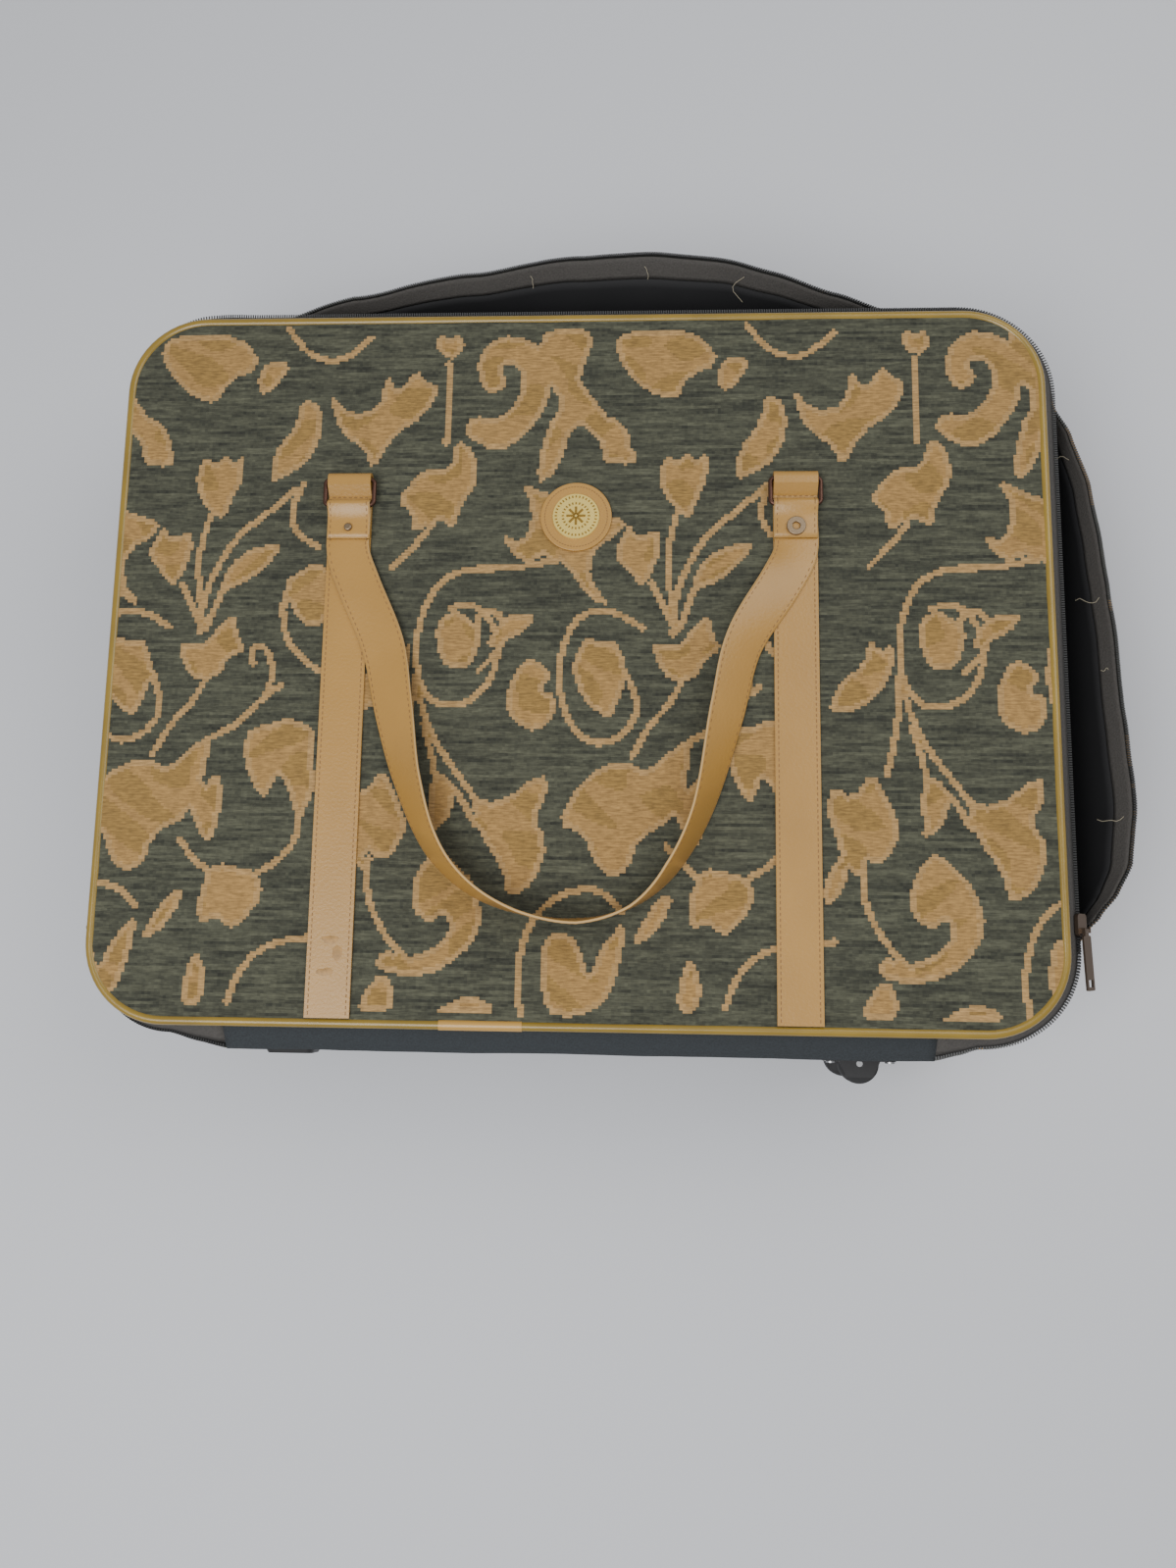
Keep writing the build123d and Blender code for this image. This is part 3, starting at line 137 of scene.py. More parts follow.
# The woven figure, one repeat wide: leaves and blossoms as closed outlines
REPEAT = 311.0
FIGURES = [
    ((54, 126), (60, 139), (67, 132), (73, 139), (80, 133), (86, 140), (87, 123), (80, 107),
     (75, 92), (66, 99), (57, 109)),
    ((35, 90), (41, 79), (54, 87), (56, 71), (50, 56), (44, 46), (36, 56), (25, 68), (29, 79)),
    ((76, 42), (78, 56), (87, 68), (101, 75), (117, 77), (109, 64), (95, 51), (83, 46)),
    ((50, 9), (63, 7), (70, 9), (76, 19), (87, 29), (90, 14), (96, 4), (84, -2), (80, -13),
     (67, -18), (58, -12), (53, -2)),
    ((3, 6), (9, 13), (19, 9), (27, 11), (32, 1), (35, -13), (30, -28), (24, -42), (15, -36),
     (8, -30), (2, -20), (-1, -7)),
    ((-9, -110), (2, -87), (18, -72), (36, -69), (49, -76), (67, -58), (77, -53), (74, -77),
     (66, -105), (42, -119), (38, -137), (25, -144), (13, -131), (10, -116)),
    ((73, -167), (77, -148), (85, -136), (98, -139), (113, -142), (116, -157), (105, -172),
     (96, -179), (87, -170), (78, -175)),
    ((-14, -228), (-18, -201), (-15, -180), (-3, -177), (6, -183), (13, -207), (20, -186),
     (37, -167), (32, -198), (25, -219), (7, -230)),
    ((38, -185), (46, -170), (56, -155), (66, -153), (59, -170), (49, -182)),
    ((67, -224), (69, -206), (75, -191), (81, -200), (83, -215), (78, -227)),
    ((189, -198), (196, -204), (220, -207), (244, -194), (258, -173), (251, -146), (240, -137),
     (228, -124), (219, -132), (211, -147), (212, -165), (224, -173), (233, -165), (237, -177),
     (226, -189), (208, -195), (196, -189)),
    ((160, -98), (165, -83), (177, -92), (190, -73), (199, -92), (207, -110), (201, -126),
     (192, -135), (180, -126), (182, -144), (171, -132), (165, -114)),
    ((219, -88), (226, -76), (234, -82), (238, -91), (233, -107), (224, -116), (220, -104)),
    ((247, -91), (265, -97), (293, -75), (297, -89), (287, -106), (297, -120), (290, -146),
     (272, -158), (268, -137), (255, -119), (250, -107)),
    ((163, -35), (166, -25), (174, -13), (185, -6), (190, 13), (196, 3), (205, 10), (205, -6),
     (197, -22), (185, -33), (172, -37)),
    ((220, 13), (223, 26), (234, 31), (242, 25), (251, 19), (249, 5), (244, -6), (234, -10),
     (225, -4)),
    ((253, 5), (259, 19), (270, 29), (288, 29), (278, 16), (266, 10)),
    ((271, -13), (281, -1), (290, -5), (297, -13), (289, -22), (300, -26), (299, -41),
     (288, -51), (273, -44), (267, -32)),
    ((197, 115), (210, 129), (226, 127), (230, 149), (242, 142), (246, 119), (235, 105),
     (231, 85), (219, 95), (203, 82), (201, 99), (192, 105)),
    ((142, 184), (156, 168), (176, 170), (181, 198), (189, 182), (202, 200), (207, 191),
     (218, 187), (208, 166), (188, 153), (174, 126), (168, 143), (156, 150), (147, 163)),
    ((233, 153), (258, 139), (277, 152), (294, 179), (289, 214), (267, 225), (248, 218),
     (241, 197), (250, 180), (264, 187), (257, 204), (273, 200), (273, 180), (259, 163),
     (240, 166)),
    ((212, 219), (219, 225), (223, 221), (230, 225), (235, 215), (223, 204)),
    ((105, 119), (106, 140), (121, 160), (124, 180), (137, 174), (139, 153), (130, 133),
     (114, 123)),
    ((-27, 218), (-21, 228), (6, 228), (10, 217), (0, 193), (7, 182), (23, 161), (43, 133),
     (27, 130), (10, 154), (-3, 161), (-12, 127), (-28, 116), (-22, 154), (-10, 175),
     (-26, 196)),
    ((23, 217), (33, 226), (66, 227), (85, 220), (95, 202), (72, 192), (66, 175), (46, 182),
     (30, 199)),
    ((-50, 83), (-34, 76), (-28, 99), (-38, 120), (-18, 110), (8, 99), (34, 92), (28, 82),
     (12, 72), (9, 52), (25, 32), (9, 39), (-4, 59), (-17, 69), (-36, 62)),
    ((-214, -60), (-209, -48), (-197, -46), (-187, -42), (-174, -44), (-166, -52), (-168, -67),
     (-164, -85), (-170, -103), (-177, -106), (-183, -87), (-190, -77), (-193, -87), (-198, -95),
     (-205, -87), (-210, -76)),
    ((-249, -86), (-240, -83), (-231, -91), (-226, -108), (-231, -125), (-240, -115),
     (-246, -102)),
    ((-132, -229), (-127, -215), (-116, -202), (-108, -215), (-110, -229)),
    ((-84, -229), (-75, -222), (-60, -217), (-46, -223), (-46, -228)),
    ((-191, 46), (-184, 56), (-173, 63), (-162, 59), (-159, 39), (-164, 22), (-176, 18),
     (-186, 31)),
    ((-217, 201), (-209, 207), (-196, 205), (-202, 192), (-212, 181), (-219, 188)),
    ((-293, 167), (-283, 162), (-275, 150), (-276, 135), (-285, 130), (-296, 135)),
    ((73, -87), (82, -77), (87, -93), (83, -115), (77, -122), (71, -107)),
    ((157, -148), (165, -132), (172, -125), (174, -141), (168, -153), (159, -160)),
]
VINES = [
    ((-62, -10), (-50, 2), (-44, 18), (-50, 30), (-62, 30), (-64, 20)),
    ((70, -16), (62, -32), (50, -44), (38, -66)),
    ((66, 96), (74, 112)),
    ((190, 60), (204, 74), (216, 90)),
    ((128, 118), (120, 100), (124, 84), (140, 74)),
    ((60, -122), (70, -134), (80, -142)),
    ((250, -110), (240, -92), (232, -84)),
    ((66, 19), (61, 49), (60, 72), (66, 96)),
    ((65, 19), (50, 49)),
    ((68, 18), (78, 46)),
    ((44, 19), (25, 31), (3, 29), (-8, 6), (-10, -20), (-2, -46), (14, -59), (32, -53),
     (43, -36), (35, -13)),
    ((299, 65), (268, 59), (236, 59), (217, 46), (207, 13), (210, -19), (225, -35),
     (249, -29), (262, -6), (260, 20), (245, 36), (229, 32)),
    ((208, -13), (218, -51), (241, -82), (250, -94)),
    ((208, -13), (206, -45), (199, -76)),
    ((-29, -229), (-33, -202), (-25, -171), (-7, -153), (18, -149), (34, -164)),
    ((97, -223), (103, -205), (116, -190), (134, -184), (164, -181)),
    ((183, -132), (182, -156), (194, -180), (208, -195)),
    ((223, 146), (224, 180), (223, 204)),
    ((170, 223), (150, 205), (128, 209), (112, 230)),
    ((76, -55), (95, -45), (107, -29), (120, -20)),
    ((222, -113), (225, -82), (215, -45)),
    ((-187, 115), (-207, 97), (-225, 83), (-239, 59), (-246, 38), (-247, 15)),
    ((-203, -31), (-197, -18), (-198, 0), (-206, 8), (-212, 4), (-210, -5)),
    ((-174, -104), (-176, -122), (-186, -135), (-199, -142)),
    ((-188, 51), (-193, 34), (-190, 12), (-178, -3), (-159, -14)),
]
VINE_WIDTH = 4.2
FRONT_CELL = 2.0
BACK_CELL = 3.2
PANEL_MARGIN = 3.5
YARN_LIFT = 0.3
RIPPLE = 0.35
FINE_RIPPLE = 0.15
RIPPLE_DROP = 0.2
WALL_CELL = 3.5
WALL_ROWS = 42
WALL_FIGURE_LOW = -75.0
STREAK = 24

# Colours, linear
GROUND_DARK = (0.021, 0.0225, 0.016)
GROUND_LIGHT = (0.083, 0.085, 0.055)
YARN_PEACH = (0.31, 0.18, 0.059)
YARN_MUSTARD = (0.245, 0.145, 0.041)
YARN_EDGE = (0.345, 0.21, 0.082)
BACKING = (0.06, 0.065, 0.055)

# Shared values of the materials
NOISE_DETAIL = 3.0
NOISE_LOW = 0.3
NOISE_HIGH = 0.7
RELIEF_DEPTH = 0.0006
COAT_ROUGHNESS = 0.25

# Medallion, in millimetres from its middle
BEAD_RINGS = ((36, 13.2), (24, 8.6))
PETALS = 8
PETAL_MIDDLE = 3.6
PATCH_STITCHES = 66
PATCH_SEAM = 20.6


def place(x, y, z):
    """Lid-centred millimetres to a point of the frame, in metres."""
    return Vector((CENTRE.x + x * MM, CENTRE.y + y * MM, z * MM))


# Materials
def material(name, color, rough=0.6, metal=0.0, bump=0.0, scale=(400, 400, 400), tone=0.0,
             coat=0.0, attribute=None, tone_scale=None):
    """A plain shader with an optional fine noise relief and tone."""
    mat = bpy.data.materials.new(name)
    mat.use_nodes = True
    nodes, links = mat.node_tree.nodes, mat.node_tree.links
    shader = nodes["Principled BSDF"]
    shader.inputs["Base Color"].default_value = (*color, 1.0)
    shader.inputs["Roughness"].default_value = rough
    shader.inputs["Metallic"].default_value = metal
    shader.inputs["Coat Weight"].default_value = coat
    shader.inputs["Coat Roughness"].default_value = COAT_ROUGHNESS
    coords = nodes.new("ShaderNodeTexCoord")

    def noise_node(size):
        mapping = nodes.new("ShaderNodeMapping")
        mapping.inputs["Scale"].default_value = size
        texture = nodes.new("ShaderNodeTexNoise")
        texture.inputs["Scale"].default_value = 1.0
        texture.inputs["Detail"].default_value = NOISE_DETAIL
        links.new(coords.outputs["Object"], mapping.inputs["Vector"])
        links.new(mapping.outputs["Vector"], texture.inputs["Vector"])
        return texture

    if bump:
        relief = nodes.new("ShaderNodeBump")
        relief.inputs["Strength"].default_value = bump
        relief.inputs["Distance"].default_value = RELIEF_DEPTH
        links.new(noise_node(scale).outputs["Fac"], relief.inputs["Height"])
        links.new(relief.outputs["Normal"], shader.inputs["Normal"])
    base = None
    if attribute:
        base = nodes.new("ShaderNodeAttribute")
        base.attribute_name = attribute
        base = base.outputs["Color"]
    if tone:
        ramp = nodes.new("ShaderNodeMapRange")
        ramp.inputs["From Min"].default_value = NOISE_LOW
        ramp.inputs["From Max"].default_value = NOISE_HIGH
        ramp.inputs["To Min"].default_value = 1.0 - tone
        ramp.inputs["To Max"].default_value = 1.0 + tone
        links.new(noise_node(tone_scale or scale).outputs["Fac"], ramp.inputs["Value"])
        mix = nodes.new("ShaderNodeVectorMath")
        mix.operation = "SCALE"
        if base is None:
            mix.inputs[0].default_value = color
        else:
            links.new(base, mix.inputs[0])
        links.new(ramp.outputs["Result"], mix.inputs["Scale"])
        links.new(mix.outputs["Vector"], shader.inputs["Base Color"])
    elif base is not None:
        links.new(base, shader.inputs["Base Color"])
    return mat


MATS = {
    "tapestry": material("tapestry_cloth", GROUND_LIGHT, 0.95, bump=0.9, scale=(300, 1100, 1100),
                         tone=0.32, tone_scale=(150, 900, 900), attribute="yarn"),
    "wall": material("wall_tapestry", GROUND_LIGHT, 0.95, bump=0.9, scale=(300, 300, 1100),
                     tone=0.32, tone_scale=(150, 150, 900), attribute="yarn"),
    "backing": material("cloth_backing", BACKING, 0.95, bump=0.5, tone=0.2),
    "twill": material("twill_cloth", (0.026, 0.031, 0.035), 0.9, bump=0.8,
                      scale=(900, 900, 1500), tone=0.25),
    "lining": material("black_lining", (0.006, 0.006, 0.007), 0.75, bump=0.5,
                       scale=(60, 60, 25)),
    "board": material("black_board", (0.02, 0.02, 0.022), 0.6),
    "piping": material("vinyl_piping", (0.25, 0.16, 0.019), 0.3, bump=0.08,
                       scale=(150, 150, 150), tone=0.12, tone_scale=(30, 30, 30), coat=0.25),
    "sleeve": material("sleeve_vinyl", (0.46, 0.26, 0.055), 0.35, coat=0.3),
    "tape": material("zip_tape_cloth", (0.062, 0.057, 0.052), 0.85, bump=0.6,
                     scale=(900, 900, 900), tone=0.2),
    "coil": material("zip_coil_nylon", (0.03, 0.03, 0.03), 0.45),
    "strap": material("tan_vinyl", (0.39, 0.21, 0.047), 0.36, bump=0.35,
                      scale=(500, 500, 500), tone=0.06, tone_scale=(25, 18, 25), coat=0.12),
    "strap_edge": material("cream_edge", (0.52, 0.33, 0.13), 0.6),
    "thread": material("sewing_thread", (0.22, 0.115, 0.04), 0.8),
    "bronze": material("dark_bronze", (0.16, 0.12, 0.09), 0.38, metal=0.9),
    "ring": material("browned_steel", (0.10, 0.05, 0.035), 0.4, metal=0.8),
    "snap": material("snap_metal", (0.26, 0.19, 0.12), 0.38, metal=0.85),
    "gold": material("gold_metal", (1.0, 0.76, 0.22), 0.3, metal=0.75, bump=0.1),
    "gold_shade": material("shaded_gold", (0.30, 0.18, 0.04), 0.45, metal=0.9),
    "plastic": material("black_plastic", (0.012, 0.012, 0.013), 0.45, bump=0.1),
    "rubber": material("black_rubber", (0.015, 0.015, 0.016), 0.7, bump=0.2),
    "steel": material("plain_steel", (0.45, 0.45, 0.46), 0.35, metal=1.0),
    "fray": material("pale_thread", (0.34, 0.30, 0.22), 0.9),
    "stain": material("glue_stain", (0.33, 0.175, 0.042), 0.45, tone=0.25),
}


def dress(node, mat):
    """Give a CAD node one of the scene's materials."""
    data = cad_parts[node].data
    data.materials.clear()
    data.materials.append(MATS[mat])


# Mesh helpers
def mesh_piece(name, points, faces, mats, body, smooth=True, picks=None, colours=None):
    """A new mesh at the origin, riding on a body."""
    data = bpy.data.meshes.new(name)
    data.from_pydata([tuple(p) for p in points], [], faces)
    for mat in mats:
        data.materials.append(MATS[mat])
    if picks is not None:
        data.polygons.foreach_set("material_index", picks)
    data.polygons.foreach_set("use_smooth", [smooth] * len(data.polygons))
    if colours is not None:
        layer = data.color_attributes.new("yarn", "FLOAT_COLOR", "CORNER")
        totals = np.zeros(len(data.polygons), int)
        data.polygons.foreach_get("loop_total", totals)
        rgba = np.ones((len(colours), 4))
        rgba[:, :3] = colours
        layer.data.foreach_set("color", np.repeat(rgba, totals, axis=0).ravel())
    data.update()
    piece = bpy.data.objects.new(name, data)
    bpy.context.scene.collection.objects.link(piece)
    if body:
        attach(piece, body)
    return piece


def rounded(points, closed, cuts=3):
    """Smooth a short list of points by cutting its corners."""
    pts = np.array(points, float)
    for _ in range(cuts):
        after = np.roll(pts, -1, axis=0)
        if closed:
            near, far = 0.75 * pts + 0.25 * after, 0.25 * pts + 0.75 * after
            pts = np.stack([near, far], 1).reshape(-1, 2)
        else:
            near, far = 0.75 * pts[:-1] + 0.25 * pts[1:], 0.25 * pts[:-1] + 0.75 * pts[1:]
            body = np.stack([near, far], 1).reshape(-1, 2)
            pts = np.vstack([pts[:1], body, pts[-1:]])
    return pts


SMOOTH_FIGURES = [rounded(f, True, 1) for f in FIGURES]
SMOOTH_VINES = [rounded(v, False, 2) for v in VINES]


def inside(px, py, outline):
    """Which points lie inside a closed outline."""
    hit = np.zeros(px.shape, bool)
    after = np.roll(outline, -1, axis=0)
    for (x0, y0), (x1, y1) in zip(outline, after):
        if y0 == y1:
            continue
        crosses = (y0 > py) != (y1 > py)
        hit ^= crosses & (px < (x1 - x0) * (py - y0) / (y1 - y0) + x0)
    return hit


def along(px, py, line):
    """Distance from points to a line of segments."""
    best = np.full(px.shape, 1e9)
    for (x0, y0), (x1, y1) in zip(line, line[1:]):
        dx, dy = x1 - x0, y1 - y0
        t = np.clip(((px - x0) * dx + (py - y0) * dy) / (dx * dx + dy * dy + 1e-9), 0, 1)
        best = np.minimum(best, np.hypot(px - x0 - t * dx, py - y0 - t * dy))
    return best


def figure_mask(px, py):
    """Where the lighter yarn is, with the figure repeated across the cloth."""
    mask = np.zeros(px.shape, bool)
    for turn in (-3, -2, -1, 0, 1, 2, 3):
        shift = turn * REPEAT
        for outline in SMOOTH_FIGURES:
            lo, hi = outline.min(0), outline.max(0)
            near = ((px > lo[0] + shift) & (px < hi[0] + shift) & (py > lo[1]) & (py < hi[1]))
            if near.any():
                mask[near] |= inside(px[near] - shift, py[near], outline)
        for line in SMOOTH_VINES:
            lo, hi = line.min(0) - VINE_WIDTH, line.max(0) + VINE_WIDTH
            near = ((px > lo[0] + shift) & (px < hi[0] + shift) & (py > lo[1]) & (py < hi[1]))
            if near.any():
                mask[near] |= along(px[near] - shift, py[near], line) < VINE_WIDTH / 2
    return mask


def weave(px, py, seed):
    """Colours of the cells of cloth, and which of them are the lighter yarn."""
    rng = np.random.default_rng(seed)
    mask = figure_mask(px, py)
    deep = mask.copy()
    for _ in range(2):
        deep = (deep & np.roll(deep, 1, 0) & np.roll(deep, -1, 0)
                & np.roll(deep, 1, 1) & np.roll(deep, -1, 1))
    rows, cols = px.shape
    run = STREAK // 2
    streak = rng.random((rows, cols + STREAK))
    streak = np.cumsum(streak, axis=1)
    streak = (streak[:, run:cols + run] - streak[:, :cols]) / run
    streak = np.clip((streak - 0.5) * 3.2 + 0.5, 0, 1)
    streak = np.clip(streak * 0.75 + rng.random((rows, cols)) * 0.25, 0, 1)[..., None]
    ground = np.array(GROUND_DARK) + (np.array(GROUND_LIGHT) - np.array(GROUND_DARK)) * streak
    flow = np.sin(px / 9.0 + 2.2 * np.sin(py / 17.0)) * np.sin(py / 8.0 + 1.7 * np.sin(px / 23.0))
    core = np.where((flow > 0.12)[..., None], YARN_MUSTARD, YARN_PEACH)
    yarn = np.where(deep[..., None], core, YARN_EDGE)
    yarn = yarn * (0.93 + 0.14 * rng.random((rows, cols, 1)))
    return np.where(mask[..., None], yarn, ground), mask


def panel_outline(px, py, inset):
    """Which points lie inside the lid's outline, drawn in by a margin."""
    qx = np.abs(px) - STRAIGHT_X
    qy = np.abs(py) - STRAIGHT_Y
    far = np.hypot(np.maximum(qx, 0), np.maximum(qy, 0)) + np.minimum(np.maximum(qx, qy), 0)
    return far < CORNER - inset


# Tapestry on the front and back panels
def panel_cloth(name, cell, z, raise_by, body, node_names, seed):
    """A sheet of woven cells; the lighter yarn stands a little proud."""
    nx = int(2 * HALF_LENGTH / cell)
    ny = int(2 * HALF_WIDTH / cell)
    xs = (np.arange(nx + 1) - nx / 2) * cell
    ys = (np.arange(ny + 1) - ny / 2) * cell
    cx, cy = np.meshgrid((xs[:-1] + xs[1:]) / 2, (ys[:-1] + ys[1:]) / 2)
    colours, mask = weave(cx, cy, seed)
    keep = panel_outline(cx, cy, PANEL_MARGIN)
    lift = np.zeros((ny + 1, nx + 1))
    for oy in (0, 1):
        for ox in (0, 1):
            lift[oy:ny + oy, ox:nx + ox] += mask * 0.25
    points, faces, picked = [], [], []
    index = -np.ones((ny + 1, nx + 1), int)
    for j in range(ny):
        for i in range(nx):
            if not keep[j, i]:
                continue
            loop = ((j, i), (j, i + 1), (j + 1, i + 1), (j + 1, i))
            face = []
            for a, b in loop:
                if index[a, b] < 0:
                    index[a, b] = len(points)
                    spot = Vector((xs[b] / 45.0, ys[a] / 38.0, seed))
                    ripple = noise.noise(spot) * RIPPLE + FINE_RIPPLE * noise.noise(spot * 3.1)
                    high = z + raise_by * (lift[a, b] * YARN_LIFT + ripple - RIPPLE_DROP)
                    points.append(place(xs[b], ys[a], high))
                face.append(index[a, b])
            faces.append(face if raise_by > 0 else face[::-1])
            picked.append(colours[j, i])
    cloth = mesh_piece(name, points, faces, ["tapestry"], body,
                       colours=np.array(picked))
    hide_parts(*node_names)
    return cloth


panel_cloth("front_tapestry", FRONT_CELL, PANEL_TOP, 1.0, "lid", ["front_panel", "woven_motifs"], 3)
panel_cloth("back_tapestry", BACK_CELL, BACK_FACE, -1.0, "case", ["back_panel"], 5)


# Soft walls
QUARTER = CORNER * math.pi / 2
SIDES = [2 * STRAIGHT_X, QUARTER, 2 * STRAIGHT_Y, QUARTER] * 2
PERIMETER = sum(SIDES)


def edge_point(s):
    """A point and outward direction on the lid's edge, by length round from the bottom left."""
    s = s % PERIMETER
    arcs = ((STRAIGHT_X, -STRAIGHT_Y, -90), (STRAIGHT_X, STRAIGHT_Y, 0),
            (-STRAIGHT_X, STRAIGHT_Y, 90), (-STRAIGHT_X, -STRAIGHT_Y, 180))
    lines = ((-STRAIGHT_X, -HALF_WIDTH, 1, 0, 0, -1), (HALF_LENGTH, -STRAIGHT_Y, 0, 1, 1, 0),
             (STRAIGHT_X, HALF_WIDTH, -1, 0, 0, 1), (-HALF_LENGTH, STRAIGHT_Y, 0, -1, -1, 0))
    for k in range(8):
        if s <= SIDES[k] or k == 7:
            if k % 2 == 0:
                x, y, dx, dy, nx, ny = lines[k // 2]
                return x + dx * s, y + dy * s, nx, ny
            cx, cy, start = arcs[k // 2]
            angle = math.radians(start + 90.0 * min(1.0, s / QUARTER))
            return (cx + CORNER * math.cos(angle), cy + CORNER * math.sin(angle),
                    math.cos(angle), math.sin(angle))
        s -= SIDES[k]


def table_of_reach():
    """Rows of place, rim reach, swell and skirt reach all round."""
    rows = []
    start = 0.0
    for k, side in enumerate((BOTTOM, RIGHT, TOP, LEFT)):
        length = SIDES[2 * k]
        flip = k == 3
        for share, rim, swell in (reversed(side) if flip else side):
            at = (1 - share) / 2 if flip else (1 + share) / 2
            skirt = (min(rim, HINGE_REACH), ZIP_REACH, ZIP_REACH, 0.0)[k]
            rows.append((start + at * length, rim, swell, skirt))
        start += length + QUARTER
    return np.array(rows)


REACH = table_of_reach()


def smooth_value(s, column):
    """A value between the rows, with smooth joins."""
    places = REACH[:, 0]
    s = s % PERIMETER
    k = int(np.searchsorted(places, s)) - 1
    a, b = k % len(places), (k + 1) % len(places)
    start, end = places[a], places[b]
    if b == 0:
        end += PERIMETER
    if k < 0:
        start -= PERIMETER
        end = places[0]
    t = (s - start) / (end - start)
    before, after = REACH[a - 1, column], REACH[(b + 1) % len(places), column]
    p, q = REACH[a, column], REACH[b, column]
    if end - start > QUARTER * 0.9:
        t = t * t * (3 - 2 * t)
        return p + (q - p) * t
    m0, m1 = (q - before) * 0.35, (after - p) * 0.35
    return ((2 * t**3 - 3 * t**2 + 1) * p + (t**3 - 2 * t**2 + t) * m0
            + (-2 * t**3 + 3 * t**2) * q + (t**3 - t**2) * m1)


def slack(s, z):
    """Soft waves of the hanging cloth, more where it is loose."""
    loose = max(0.0, smooth_value(s, 1)) / FULL_SLACK
    share = max(0.0, (z - WALL_BASE) / (RIM_HEIGHT - WALL_BASE))
    spot = Vector((s / 46.0, z / 70.0, 1.7))
    fine = Vector((s / 17.0, z / 30.0, 4.1))
    wave = noise.noise(spot) * WAVE + noise.noise(fine) * FINE_WAVE
    return wave * share * (STEADY_SHARE + loose)


def wall_reach(s, z):
    """How far the wall stands out from the lid's edge at a height."""
    rim, swell = smooth_value(s, 1), smooth_value(s, 2)
    share = min(1.0, max(0.0, (z - WALL_BASE) / (WALL_FULL - WALL_BASE)))
    climb = max(0.0, (z - WALL_BASE) / (RIM_HEIGHT - WALL_BASE)) ** WALL_FLARE_POWER
    return (-WALL_INSET + (swell + WALL_INSET) * share**WALL_RISE_POWER + (rim - swell) * climb
            + slack(s, z))


def skirt_reach(s, z):
    """How far the tape that hangs from the lid stands out at a height."""
    fall = (SKIRT_TOP - z) / (SKIRT_TOP - SKIRT_LOW)
    return -SKIRT_INSET + (smooth_value(s, 3) + SKIRT_INSET) * fall


def rim_z(s):
    """Height of the wall's rim, lower toward the top of the lid."""
    y = edge_point(s)[1]
    wave = noise.noise(Vector((s / 90.0, 0.0, 9.0))) * RIM_WAVE
    loose = max(0.0, smooth_value(s, 1)) / FULL_SLACK
    return RIM_HEIGHT - RIM_DROP * (y + HALF_WIDTH + HINGE_REACH) / (2 * HALF_WIDTH) + wave * loose


def skin(name, s0, s1, step, rows, reach, low, high, outer, inner, mats, body,
         loop=False, seed=0, woven=False):
    """A closed strip of cloth between two insets from a soft surface."""
    count = int((s1 - s0) / step)
    ss = [s0 + (s1 - s0) * i / count for i in range(count + (0 if loop else 1))]
    grids = []
    for inset in (outer, inner):
        grid = []
        for s in ss:
            x, y, nx, ny = edge_point(s)
            z0, z1 = low(s), high(s)
            for r in range(rows + 1):
                z = z0 + (z1 - z0) * r / rows
                out = reach(s, z) - inset
                grid.append(place(x + nx * out, y + ny * out, z))
        grids.append(grid)
    n, m = len(ss), rows + 1
    points = grids[0] + grids[1]
    base = n * m
    faces, picks, colours = [], [], []
    spans = n if loop else n - 1
    woven_colours = None
    if woven:
        cx, cy = np.meshgrid([s0 + (i + 0.5) * step for i in range(spans)],
                             [(r + 0.5) * WALL_CELL + WALL_FIGURE_LOW for r in range(rows)])
        woven_colours, _ = weave(cx, cy, seed)
    plain = np.array(BACKING)
    for i in range(spans):
        j = (i + 1) % n
        for r in range(rows):
            a, b, c, d = i * m + r, j * m + r, j * m + r + 1, i * m + r + 1
            faces.append((a, b, c, d))
            picks.append(0)
            colours.append(woven_colours[r, i] if woven else plain)
            faces.append((base + d, base + c, base + b, base + a))
            picks.append(len(mats) - 1)
            colours.append(plain)
        for r, flip in ((0, True), (rows, False)):
            a, b = i * m + r, j * m + r
            quad = (a, b, base + b, base + a)
            faces.append(quad[::-1] if flip else quad)
            shown = woven and r == rows
            picks.append(0 if shown else len(mats) - 1)
            colours.append(woven_colours[rows - 1, i] if shown else plain)
    if not loop:
        for i, flip in ((0, False), (n - 1, True)):
            for r in range(rows):
                a, b = i * m + r, i * m + r + 1
                quad = (a, b, base + b, base + a)
                faces.append(quad if not flip else quad[::-1])
                picks.append(len(mats) - 1)
                colours.append(plain)
    return mesh_piece(name, points, faces, mats, body, picks=picks,
                      colours=np.array(colours) if woven else None)


ZIP_START = HINGE_RIGHT + STRAIGHT_X
ZIP_END = PERIMETER + HINGE_LEFT + STRAIGHT_X
HINGE_START = HINGE_LEFT + STRAIGHT_X

wall = skin("side_wall_cloth", ZIP_START, ZIP_END, WALL_CELL, WALL_ROWS, wall_reach,
            lambda s: WALL_BASE, rim_z, 0.0, CLOTH, ["wall", "backing"], "case",
            seed=8, woven=True)
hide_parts("side_wall")

gusset = skin("bottom_gusset_cloth", HINGE_START, ZIP_START, 6.0, 24, wall_reach,
              lambda s: WALL_BASE, lambda s: HINGE_SEAM, 0.0, CLOTH, ["twill"], "case")
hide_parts("bottom_gusset")


def hinge_reach(s, z):
    """The hinge cloth keeps to the gusset's line below and the lid's skirt above."""
    low = wall_reach(s, HINGE_SEAM)
    if z <= SKIRT_LOW:
        return low
    share = (z - SKIRT_LOW) / (SKIRT_TOP - SKIRT_LOW)
    return low + (skirt_reach(s, SKIRT_TOP) - low) * share


hinge_cloth = skin("hinge_cloth", HINGE_START, ZIP_START, 6.0, 8, hinge_reach,
                   lambda s: HINGE_SEAM, lambda s: SKIRT_TOP, 0.0, CLOTH, ["twill"], None)
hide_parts("hinge_flap")
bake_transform(hinge_cloth)

